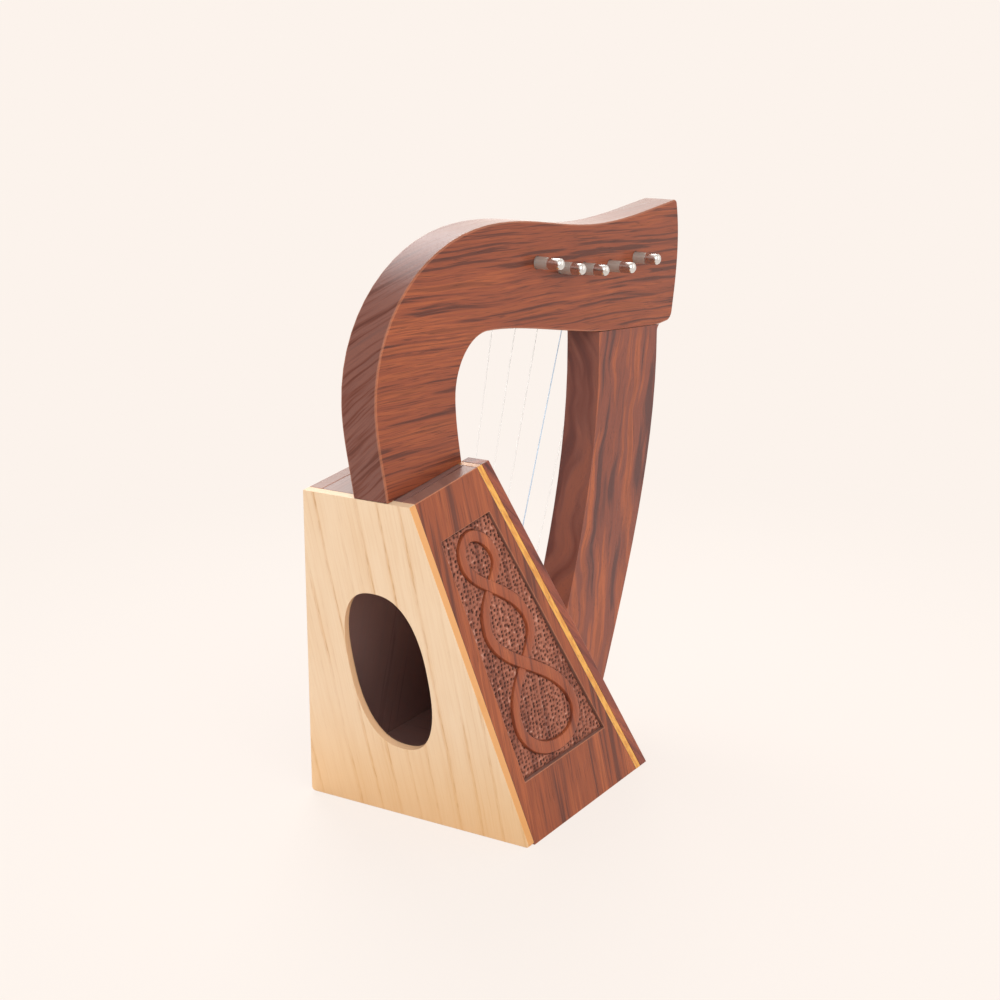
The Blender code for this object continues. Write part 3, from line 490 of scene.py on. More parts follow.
@dataclass(frozen=True)
class Ash:
    """A pale ring-porous wood, with warmer cut edges."""

    name: str
    grain: Axis
    facing: Axis
    base: Colour = shade(241, 214, 181)
    ring: Colour = shade(219, 173, 122)
    pore: Colour = shade(184, 132, 84)
    edge: Colour = shade(224, 158, 90)
    # End grain, lightened further as painted light where the neck casts its shadow
    end: Colour = shade(248, 220, 184)
    # Cut wall of the sound hole, lightened as painted light where it lies in shade
    wall: Colour = shade(254, 208, 162)
    # Painted shade: darker and more orange towards the bottom
    low: Colour = shade(238, 190, 126)
    low_shade_reach: float = 75 * MM
    low_shade_share: float = 0.5
    long_bend: Bend = (150 * MM, 45 * MM, 2.5 * MM)
    short_bend: Bend = (16 * MM, 6 * MM, 0.4 * MM)
    patches: Figure = Figure(80 * MM, 9 * MM)
    patch_span: Span = (0.35, 0.75)
    patch_share: float = 0.22
    fibres: Figure = Figure(30 * MM, 0.8 * MM)
    fibre_span: Span = (0.4, 0.75)
    fibre_share: float = 0.16
    dashes: Figure = Figure(7 * MM, 0.45 * MM, 1.0, 0.0)
    pore_span: Span = (0.52, 0.66)
    pore_share: float = 0.48
    ring_width: float = 12.5 * MM
    ring_share: float = 0.58
    fine_ring_width: float = 0.37
    fine_ring_share: float = 0.28
    early_start: float = 0.06
    early_end: float = 0.24
    strength_span: Span = (0.35, 0.65)
    least_strength: float = 0.15
    edge_share: float = 0.9
    end_share: float = 0.85
    wall_light_share: float = 0.9
    wall_span: Span = (0.1, 1.0)
    roughness: Span = (0.42, 0.54)
    shine: float = 0.3
    fibre_height: float = 0.3
    relief: Span = (0.1, 0.3 * MM)
    seed: float = 0.0

    @cache
    def material(self) -> Material:
        """The wood as a material.

        Returns:
            The material.
        """
        shader = Shader(self.name)
        across = tuple(Vector(self.facing).cross(Vector(self.grain)))
        straight = shader.along(self.grain, across, self.seed)
        place = shader.swayed(shader.swayed(straight, *self.long_bend), *self.short_bend)
        reach = shader.parts(place)[1]
        patches = shader.figured(place, self.patches)
        fibres = shader.figured(place, self.fibres)
        fine_width = self.ring_width * self.fine_ring_width
        early = shader.maths("ADD", self.year(shader, reach, self.ring_width, patches, 1.0),
                             self.year(shader, reach, fine_width, patches, self.fine_ring_share))
        pores = shader.times(shader.remap(shader.figured(place, self.dashes), *self.pore_span), early)
        colour = shader.veiled(self.base, self.ring, patches, self.patch_span, self.patch_share)
        colour = shader.over(colour, self.ring, early, self.ring_share)
        colour = shader.veiled(colour, self.ring, fibres, self.fibre_span, self.fibre_share)
        colour = shader.over(colour, self.pore, pores, self.pore_share)
        # Painted shade: darker and more orange towards the bottom of the panel
        height = shader.parts(shader.spot())[2]
        low_shade = shader.remap(height, 0.0, self.low_shade_reach, self.low_shade_share, 0.0)
        colour = shader.tint(low_shade, colour, self.low)
        colour = shader.over(colour, self.edge, shader.turned_from(self.facing), self.edge_share)
        # End grain goes pale, which is partly painted light against the neck's shadow
        colour = shader.over(colour, self.end, shader.end_grain(self.grain), self.end_share)
        # The sound hole's wall goes pale: cut wood, and painted light where it lies in shade
        steep = shader.remap(shader.faces_either_way(self.facing), *self.wall_span, self.wall_light_share, 0.0)
        colour = shader.tint(shader.times(shader.marked(PIT), steep), colour, self.wall)
        relief = shader.maths("SUBTRACT", shader.times(fibres, self.fibre_height), pores)
        return shader.dress({
            "Base Color": colour,
            "Roughness": shader.remap(fibres, *MOST_NOISE, *self.roughness),
            "Normal": shader.bump(relief, *self.relief),
            "Specular IOR Level": self.shine,
        })

    def year(self, shader: Shader, reach: Socket, width: float, patches: Socket, share: float) -> Socket:
        """The porous early wood of each year's ring, which starts sharply and fades.

        Args:
            shader: The material under construction.
            reach: Place across the rings.
            width: Width of a ring.
            patches: Noise that strengthens and weakens the rings.
            share: How strong the rings are at most.

        Returns:
            The socket with the early wood's strength.
        """
        phase = shader.maths("FRACT", shader.maths("DIVIDE", reach, width))
        fade = shader.remap(phase, self.early_start, self.early_end, 1.0, 0.0)
        pulse = shader.times(shader.remap(phase, 0.0, self.early_start), fade)
        strength = shader.remap(patches, *self.strength_span, self.least_strength * share, share)
        return shader.times(pulse, strength)


@dataclass(frozen=True)
class Spruce:
    """A golden straight-grained board with flecks, for the soundboard and the dowels."""

    name: str
    grain: Axis
    layers: Axis = (0.1, 0.9, 0.2)
    base: Colour = shade(236, 172, 68)
    line: Colour = shade(208, 130, 44)
    end: Colour = shade(178, 122, 76)
    fleck: Colour = shade(128, 82, 38)
    bend: Bend = (120 * MM, 25 * MM, 1.5 * MM)
    years: Figure = Figure(220 * MM, 1.6 * MM)
    year_span: Span = (0.42, 0.62)
    year_share: float = 0.75
    fibres: Figure = Figure(20 * MM, 0.35 * MM, detail=1.0)
    fibre_span: Span = (0.4, 0.8)
    fibre_share: float = 0.25
    spots: Figure = Figure(5 * MM, 1.1 * MM, detail=1.0)
    spot_span: Span = (0.62, 0.74)
    flecks: float = 0.5
    end_share: float = 0.85
    gloss_span: Span = (0.3, 0.7)
    roughness: Span = (0.4, 0.5)
    coat: float = 0.15
    coat_roughness: float = 0.25
    relief: Span = (0.08, 0.2 * MM)
    seed: float = 0.0
    inside: Axis | None = None

    @cache
    def material(self) -> Material:
        """The wood as a material.

        Returns:
            The material.
        """
        shader = Shader(self.name)
        place = shader.swayed(shader.along(self.grain, self.layers, self.seed), *self.bend)
        years = shader.figured(place, self.years)
        fibres = shader.figured(place, self.fibres)
        spots = shader.figured(place, self.spots)
        colour = shader.veiled(self.base, self.line, years, self.year_span, self.year_share)
        colour = shader.veiled(colour, self.line, fibres, self.fibre_span, self.fibre_share)
        colour = shader.veiled(colour, self.fleck, spots, self.spot_span, self.flecks)
        colour = shader.over(colour, self.end, shader.end_grain(self.grain), self.end_share)
        return shader.dress({
            "Base Color": shader.raw(colour, self.inside),
            "Roughness": shader.remap(years, *self.gloss_span, *self.roughness),
            "Normal": shader.bump(fibres, *self.relief),
            "Coat Weight": self.coat,
            "Coat Roughness": self.coat_roughness,
        })


@dataclass(frozen=True)
class Metal:
    """A plated metal with smudges, turning marks and, past a place along Y, a fine thread."""

    name: str
    colour: Colour
    tarnish: Colour
    polish: float
    thread_from: float = 1.0
    thread_pitch: float = 0.8 * MM
    thread_start: float = 0.6 * MM
    thread_tarnish: float = 0.6
    thread_dullness: float = 0.5
    thread_roughness: float = 0.2
    mark_scale: Axis = (300.0, 6000.0, 300.0)
    mark_height: float = 0.25
    smudge_scale: Axis = (260.0, 260.0, 260.0)
    smudge_detail: float = 3.0
    smudge_span: Span = (0.3, 0.75)
    smudge_roughness: float = 0.1
    tarnish_span: Span = (0.5, 0.8)
    tarnish_share: float = 0.5
    relief: Span = (0.3, 0.12 * MM)

    @cache
    def material(self) -> Material:
        """The metal as a material.

        Returns:
            The material.
        """
        shader = Shader(self.name)
        place = shader.spot()
        marks = shader.noise(shader.vector("MULTIPLY", place, self.mark_scale))
        smudges = shader.noise(shader.vector("MULTIPLY", place, self.smudge_scale), self.smudge_detail)
        along = shader.parts(place)[1]
        threaded = shader.remap(along, self.thread_from, self.thread_from + self.thread_start)
        crest = shader.maths("SINE", shader.times(along, 2 * math.pi / self.thread_pitch))
        height = shader.maths("ADD", shader.times(marks, self.mark_height), shader.times(crest, threaded))
        rough = shader.remap(smudges, *self.smudge_span, self.polish, self.polish + self.smudge_roughness)
        dull = shader.maths("MAXIMUM", shader.remap(smudges, *self.tarnish_span, 0.0, self.tarnish_share),
                            shader.times(threaded, self.thread_tarnish))
        return shader.dress({
            "Base Color": shader.tint(dull, self.colour, self.tarnish),
            "Metallic": shader.maths("SUBTRACT", 1.0, shader.times(threaded, self.thread_dullness)),
            "Roughness": shader.maths("ADD", rough, shader.times(threaded, self.thread_roughness)),
            "Normal": shader.bump(height, *self.relief),
        })


@dataclass(frozen=True)
class Nylon:
    """A drawn nylon filament, more or less clear."""

    name: str
    colour: Colour
    clear: float
    bend: float
    draw_scale: Axis = (2500.0, 2500.0, 160.0)
    draw_span: Span = (0.35, 0.7)
    draw_share: float = 0.35
    roughness: Span = (0.08, 0.16)

    @cache
    def material(self) -> Material:
        """The filament as a material.

        Returns:
            The material.
        """
        shader = Shader(self.name)
        draw = shader.noise(shader.vector("MULTIPLY", shader.spot(), self.draw_scale), 1.0)
        pale = tuple(0.5 + part / 2 for part in self.colour)
        return shader.dress({
            "Base Color": shader.veiled(self.colour, pale, draw, self.draw_span, self.draw_share),
            "Roughness": shader.remap(draw, *MOST_NOISE, *self.roughness),
            "IOR": self.bend,
            "Transmission Weight": self.clear,
        })


# Meshes and pieces

def plain_mesh(item: bpy.types.Object) -> Mesh:
    """The evaluated mesh of an object, which is then removed.

    Args:
        item: An object with its modifiers.

    Returns:
        A mesh with the modifiers' work in it.
    """
    bpy.context.view_layer.update()
    evaluated = item.evaluated_get(bpy.context.evaluated_depsgraph_get())
    mesh = bpy.data.meshes.new_from_object(evaluated)
    bpy.data.objects.remove(item)
    return mesh


def linked(name: str, data: bpy.types.ID) -> bpy.types.Object:
    """A new object in the scene that shows a mesh, a camera or a light.

    Args:
        name: The object's name.
        data: What it shows.

    Returns:
        The object.
    """
    item = bpy.data.objects.new(name, data)
    bpy.context.scene.collection.objects.link(item)
    return item


def paint(mesh: Mesh, look: Material) -> None:
    """Gives a mesh its one material."""
    mesh.materials.clear()
    mesh.materials.append(look)


def add_piece(name: str, mesh: Mesh, look: Material, body: str = HARP_BODY,
              stands_for: tuple[str, ...] = ()) -> None:
    """Puts a finished mesh on a body of the harp.

    Args:
        name: The piece's name.
        mesh: Its mesh, in place.
        look: Its material.
        body: The body that it rides on.
        stands_for: Solids that it replaces.
    """
    paint(mesh, look)
    piece = linked(name, mesh)
    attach(piece, body)
    if stands_for:
        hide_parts(*stands_for)
    LOG.info("%s: %d faces", name, len(mesh.polygons))


def smoothed(name: str, bm: Shape, crease: float = math.radians(42)) -> Mesh:
    """A mesh whose flat faces stay flat while its eased edges shade round.

    Args:
        name: The mesh's name.
        bm: The shape, which is freed.
        crease: Angle from which an edge stays sharp.

    Returns:
        The mesh, with its normals weighted by face area.
    """
    bm.normal_update()
    for edge in bm.edges:
        edge.smooth = edge.calc_face_angle(0.0) < crease
    mesh = bpy.data.meshes.new(name)
    bm.to_mesh(mesh)
    bm.free()
    mesh.shade_smooth()
    holder = linked(name, mesh)
    weighting = holder.modifiers.new("weighting", "WEIGHTED_NORMAL")
    weighting.keep_sharp = True
    return plain_mesh(holder)


def add_board(node: str, bm: Shape, look: Material) -> None:
    """Puts a board's finished shape in place of its solid."""
    add_piece(f"{node}_board", smoothed(node, bm), look, stands_for=(node,))


def solid_copy(node: str) -> Shape:
    """A copy of a solid with its corners merged and its flat faces whole.

    Args:
        node: The solid's name.

    Returns:
        The copy.
    """
    bm = bmesh.new()
    bm.from_mesh(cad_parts[node].data)
    bmesh.ops.remove_doubles(bm, verts=bm.verts, dist=WELD)
    bmesh.ops.dissolve_limit(bm, angle_limit=FLATNESS, verts=bm.verts, edges=bm.edges)
    return bm


def ease(bm: Shape, width: float, segments: int = 3, allow: EdgeTest = lambda edge: True) -> None:
    """Rounds the outward edges of a shape and marks them for a lighter colour: wear, and a painted edge
    highlight.

    Args:
        bm: The shape.
        width: How far the rounding reaches from the edge.
        segments: How many faces make the rounding.
        allow: Which of the edges to round.
    """
    wear_and_highlight = bm.faces.layers.float.get(WEAR_AND_HIGHLIGHT) or bm.faces.layers.float.new(WEAR_AND_HIGHLIGHT)
    edges = [edge for edge in bm.edges
             if edge.is_manifold and edge.calc_face_angle_signed() > OUTWARD_EDGE and allow(edge)]
    made = bmesh.ops.bevel(bm, geom=edges, offset=width, segments=segments, profile=0.5, affect="EDGES",
                           clamp_overlap=True)
    for rounded in made["faces"]:
        rounded[wear_and_highlight] = 1.0


def middle(edge: Edge) -> Vector:
    """The middle of an edge."""
    return (edge.verts[0].co + edge.verts[1].co) / 2


def runs_along(edge: Edge, direction: Vector) -> bool:
    """Whether an edge runs nearly along a direction or against it."""
    first, second = (vert.co for vert in edge.verts)
    return abs((second - first).normalized().dot(direction)) > NEARLY_ALONG


def stands_free(node: str, reach: float = 0.5 * MM) -> EdgeTest:
    """A test of whether an edge of a board lies away from the boards next to it.

    Args:
        node: The board's solid.
        reach: How near a board counts as next to it.

    Returns:
        The test.
    """
    solids = [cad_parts[name].data for name in WOODEN if name != node]
    trees = [BVHTree.FromPolygons([vert.co for vert in solid.vertices],
                                  [polygon.vertices for polygon in solid.polygons]) for solid in solids]

    def free(edge: Edge) -> bool:
        """Whether an edge's middle lies away from every other board."""
        return all(tree.find_nearest(middle(edge), reach)[0] is None for tree in trees)

    return free


class Recipe(Graph):
    """A Geometry Nodes tree with named inputs, which ends in one realised and painted mesh."""

    def __init__(self, name: str, inputs: dict[str, str]) -> None:
        """Starts a tree.

        Args:
            name: The tree's name.
            inputs: Its inputs, as the kind of socket for each name.
        """
        super().__init__(bpy.data.node_groups.new(name, "GeometryNodeTree"))
        ports = self.tree.interface
        ports.new_socket("Geometry", in_out="INPUT", socket_type="NodeSocketGeometry")
        wanted = {label: f"NodeSocket{kind}" for label, kind in (inputs | {"Material": "Material"}).items()}
        self.keys = {label: ports.new_socket(label, in_out="INPUT", socket_type=kind).identifier
                     for label, kind in wanted.items()}
        ports.new_socket("Geometry", in_out="OUTPUT", socket_type="NodeSocketGeometry")
        self.given = self.add("NodeGroupInput").outputs

    def path(self) -> Socket:
        """The given chain of edges as a curve."""
        return self.first("GeometryNodeMeshToCurve", {"Mesh": self.given["Geometry"]})

    def swept(self, path: Socket, section: Socket) -> Socket:
        """A section swept along a path, as large at each point as the path's mark says."""
        swell = self.first("GeometryNodeInputNamedAttribute", {"Name": SWELL}, data_type="FLOAT")
        return self.first("GeometryNodeCurveToMesh", {
            "Curve": path, "Profile Curve": section, "Scale": swell, "Fill Caps": True})

    def pitted(self, geometry: Socket, depth: Feed, domain: str) -> Socket:
        """Geometry whose faces or points carry a mark that the finish paints as stain and shade in hollows,
        and as a highlight where it is below zero.
        """
        feeds = {"Geometry": geometry, "Name": PIT, "Value": depth}
        return self.first("GeometryNodeStoreNamedAttribute", feeds, data_type="FLOAT", domain=domain)

    def close(self, geometry: Socket) -> "Recipe":
        """Ends the tree with a smooth, realised and painted mesh, and gives the recipe.

        Args:
            geometry: What the tree has made.

        Returns:
            The recipe, ready to grow.
        """
        smooth = self.first("GeometryNodeSetShadeSmooth", {"Geometry": geometry})
        real = self.first("GeometryNodeRealizeInstances", {"Geometry": smooth})
        feeds = {"Geometry": real, "Material": self.given["Material"]}
        self.add("NodeGroupOutput", {0: self.first("GeometryNodeSetMaterial", feeds)})
        return self

    def grow(self, name: str, source: Mesh, values: dict[str, Feed]) -> Mesh:
        """Runs the tree on a mesh.

        Args:
            name: The new mesh's name.
            source: The mesh that goes in.
            values: The values of the tree's inputs.

        Returns:
            What the tree makes, as a plain mesh.
        """
        holder = linked(name, source)
        modifier = holder.modifiers.new(self.tree.name, "NODES")
        modifier.node_group = self.tree
        for label, value in values.items():
            modifier[self.keys[label]] = value
        return plain_mesh(holder)


def path_mesh(name: str, points: list[Vector], swells: list[float] | None = None,
              closed: bool = False) -> Mesh:
    """A path as a chain of edges.

    Args:
        name: The mesh's name.
        points: The path's points.
        swells: How many times its usual size the path's section is at each point.
        closed: Whether the path runs back to its start.

    Returns:
        The mesh.
    """
    mesh = bpy.data.meshes.new(name)
    links = [(index, index + 1) for index in range(len(points) - 1)]
    if closed:
        links.append((len(points) - 1, 0))
    mesh.from_pydata([tuple(point) for point in points], links, [])
    layer = mesh.attributes.new(SWELL, "FLOAT", "POINT")
    layer.data.foreach_set("value", swells or [1.0] * len(points))
    return mesh


def round_sweep() -> Recipe:
    """The tree that sweeps a round section along a path.

    Returns:
        The tree.
    """
    recipe = Recipe("round_sweep", {"Diameter": "Float", "Sides": "Int"})
    section = recipe.first("GeometryNodeCurvePrimitiveCircle", {
        "Resolution": recipe.given["Sides"],
        "Radius": recipe.maths("DIVIDE", recipe.given["Diameter"], 2.0)})
    return recipe.close(recipe.swept(recipe.path(), section))


def band_sweep(wall_span: Span = (0.35, 0.8), wall_shade: float = 0.32, arc_points: int = 3) -> Recipe:
    """The tree that sweeps a flat band with rounded edges along a path that lies in its XY plane.

    Args:
        wall_span: How squarely a face looks up where it turns from wall to top.
        wall_shade: How much painted shade the walls take, carried as the mark of how deep they lie.
        arc_points: How many points make each rounded edge.

    Returns:
        The tree.
    """
    sizes = ("Face Width", "Root Width", "Height", "Edge Radius")
    recipe = Recipe("band_sweep", dict.fromkeys(sizes, "Float"))
    given = recipe.given
    flat = recipe.first("GeometryNodeSetCurveNormal", {"Curve": recipe.path()}, mode="Z_UP")
    section = recipe.first("GeometryNodeCurvePrimitiveQuadrilateral", {
        "Height": given["Height"], "Bottom Width": given["Face Width"], "Top Width": given["Root Width"],
        "Offset": 0.0}, mode="TRAPEZOID")
    rounded = recipe.first("GeometryNodeFilletCurve", {
        "Curve": section, "Radius": given["Edge Radius"], "Count": arc_points}, mode="POLY")
    up = recipe.parts(recipe.first("GeometryNodeInputNormal"))[2]
    # The strand's walls take painted shade
    shaded_walls = recipe.remap(up, *wall_span, wall_shade, 0.0)
    return recipe.close(recipe.pitted(recipe.swept(flat, rounded), shaded_walls, "FACE"))


def punched_ground() -> Recipe:
    """The tree that makes a carved ground: punched dots, and a groove beside the strand and the border.

    Returns:
        The tree.
    """
    scatter, least_force = 0.6, 0.55
    dot_slope, glint_crest_span, rim_span = (0.28, 0.58), (0.48, 0.62), (0.006, 0.018)
    gouge_scale, gouge_span, gouge_depth = (260.0, 260.0, 0.0), (0.25, 0.75), 0.25 * MM
    groove_shade, glint_mark, glint_span = 0.55, 0.4, (0.45, 0.7)
    corners = ("Corner 1", "Corner 2", "Corner 3", "Corner 4")
    sizes = ("Spacing", "Stretch", "Dot Width", "Dot Depth", "Groove Width", "Groove Depth")
    recipe = Recipe("punched_ground", {
        **dict.fromkeys(corners, "Vector"), **dict.fromkeys(sizes, "Float"), "Columns": "Int", "Rows": "Int",
        "Strand": "Object"})
    given = recipe.given
    grid = recipe.add("GeometryNodeMeshGrid", {
        "Size X": 1.0, "Size Y": 1.0, "Vertices X": given["Columns"], "Vertices Y": given["Rows"]})
    along, up, _ = recipe.parts(grid.outputs["UV Map"])

    def between(part: Feed, start: Feed, end: Feed) -> Socket:
        """A place between two others."""
        return recipe.add("ShaderNodeMix", {0: part, 4: start, 5: end}, data_type="VECTOR").outputs[1]

    low = between(along, given["Corner 1"], given["Corner 2"])
    high = between(along, given["Corner 4"], given["Corner 3"])
    laid = recipe.first("GeometryNodeSetPosition", {
        "Geometry": grid.outputs[0], "Position": between(up, low, high)})
    place = recipe.first("GeometryNodeInputPosition")

    # Dots, each in a cell of its own, with crests where cells meet
    squeeze = recipe.first("ShaderNodeCombineXYZ", {
        "X": recipe.maths("DIVIDE", 1.0, given["Stretch"]), "Y": 1.0, "Z": 1.0})
    cells = recipe.add("ShaderNodeTexVoronoi", {
        "Vector": recipe.vector("MULTIPLY", place, squeeze),
        "Scale": recipe.maths("DIVIDE", 1.0, given["Spacing"]), "Randomness": scatter},
        voronoi_dimensions="2D")
    away = recipe.times(cells.outputs["Distance"], given["Spacing"])
    floor, brim = (recipe.times(given["Dot Width"], share) for share in dot_slope)
    # Crests, where cells meet, take a painted highlight
    crest = recipe.remap(cells.outputs["Distance"], *glint_crest_span)
    chance = recipe.parts(cells.outputs["Color"])[0]
    force = recipe.remap(chance, 0.0, 1.0, least_force, 1.0)
    dot = recipe.times(recipe.remap(away, floor, brim, 1.0, 0.0), force)

    # Grooves beside the strand and inside the border
    strand = recipe.add("GeometryNodeObjectInfo", {"Object": given["Strand"]}).outputs["Geometry"]
    near = recipe.add("GeometryNodeProximity", {0: strand}, target_element="FACES").outputs["Distance"]
    beside = recipe.remap(near, 0.0, given["Groove Width"], 1.0, 0.0)
    rims = [recipe.maths("MINIMUM", part, recipe.maths("SUBTRACT", 1.0, part)) for part in (along, up)]
    rim = recipe.remap(recipe.maths("MINIMUM", *rims), *rim_span, 1.0, 0.0)
    groove = recipe.maths("MAXIMUM", beside, rim)

    # Depth of the ground, and the marks that its finish reads: stain and painted shade in the dots, painted
    # shade in the grooves, and a painted highlight on the crests
    gouges = recipe.noise(recipe.vector("MULTIPLY", place, gouge_scale))
    cut = recipe.maths("MAXIMUM", recipe.times(dot, given["Dot Depth"]),
                       recipe.times(groove, given["Groove Depth"]))
    sunk = recipe.maths("ADD", cut, recipe.remap(gouges, *gouge_span, 0.0, gouge_depth))
    down = recipe.first("ShaderNodeCombineXYZ", {"Z": recipe.times(sunk, -1.0)})
    # Dots darken as stain and painted shade, grooves as painted shade
    deep = recipe.maths("MAXIMUM", dot, recipe.times(groove, groove_shade))
    glint = recipe.times(crest, recipe.remap(gouges, *glint_span, 0.0, glint_mark))
    marked = recipe.pitted(laid, recipe.maths("SUBTRACT", deep, glint), "POINT")
    return recipe.close(recipe.first("GeometryNodeSetPosition", {"Geometry": marked, "Offset": down}))


# Flat faces of the soundbox

@dataclass(frozen=True)
class Flat:
    """A flat face, as a point on it and its outward normal."""

    point: Vector
    normal: Vector

    def inset(self, depth: float) -> "Flat":
        """The face moved into its solid by a depth."""
        return Flat(self.point - self.normal * depth, self.normal)

    def above(self, place: Vector) -> float:
        """How far a place stands out from the face."""
        return (place - self.point).dot(self.normal)


def meet(*flats: Flat) -> Vector:
    """The point where three flat faces meet."""
    rows = Matrix([flat.normal for flat in flats])
    return rows.inverted() @ Vector([flat.normal.dot(flat.point) for flat in flats])


def forwards(rise: float) -> Vector:
    """The direction forwards, tipped up by an angle."""
    return Vector((math.cos(rise), 0, math.sin(rise)))


def upwards(lean: float) -> Vector:
    """The direction upwards, tipped back by an angle."""
    return Vector((-math.sin(lean), 0, math.cos(lean)))


@dataclass
class BoxShape:
    """The soundbox's outer faces."""

    height: float = 182 * MM
    base_width: float = 136 * MM
    top_width: float = 62 * MM
    base_depth: float = 116.1 * MM
    back_lean: float = math.radians(13.4)
    front_lean: float = math.radians(27)
    top_rise: float = math.radians(5.1)
    back_thickness: float = 4.8 * MM
    side_thickness: float = 7.5 * MM
    soundboard_thickness: float = 4 * MM
    clearance: float = 0.3 * MM

    def __post_init__(self) -> None:
        """Works out the faces, from the lower rear edge of the box."""
        overhang = self.height * math.tan(self.back_lean)
        self.origin = Vector((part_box("back_panel")[0].x + overhang, 0, 0))
        self.side_lean = math.atan((self.base_width - self.top_width) / 2 / self.height)
        self.floor = Flat(self.origin, Vector((0, 0, -1)))
        self.back = Flat(self.origin, -forwards(self.back_lean))
        self.front = Flat(self.origin + Vector((self.base_depth, 0, 0)), forwards(self.front_lean))
        self.top = Flat(self.origin + Vector((-overhang, 0, self.height)), upwards(self.top_rise))
        self.back_inside = self.back.inset(self.back_thickness + self.clearance)
        self.front_inside = self.front.inset(self.soundboard_thickness + self.clearance)

    def side(self, hand: Hand) -> Flat:
        """Outer face of a side panel."""
        return Flat(self.origin + Vector((0, hand.value * self.base_width / 2, 0)),
                    Vector((0, hand.value * math.cos(self.side_lean), math.sin(self.side_lean))))

    def up_the_side(self, hand: Hand) -> Vector:
        """Direction up a side panel's face."""
        return Vector((0, -hand.value * math.sin(self.side_lean), math.cos(self.side_lean)))


def place_at(leaning: Flat, height: float) -> float:
    """Place along X of a face that leans forwards or back, at a height."""
    return leaning.point.x - (height - leaning.point.z) * leaning.normal.z / leaning.normal.x


def through(knots: tuple[tuple[float, float], ...], place: float) -> float:
    """Value at a place of the smooth curve through (place, value) knots.

    Args:
        knots: The knots.
        place: The place.

    Returns:
        The value.
    """
    total = 0.0
    for knot, value in knots:
        for other, _ in knots:
            if other != knot:
                value *= (place - other) / (knot - other)
        total += value
    return total


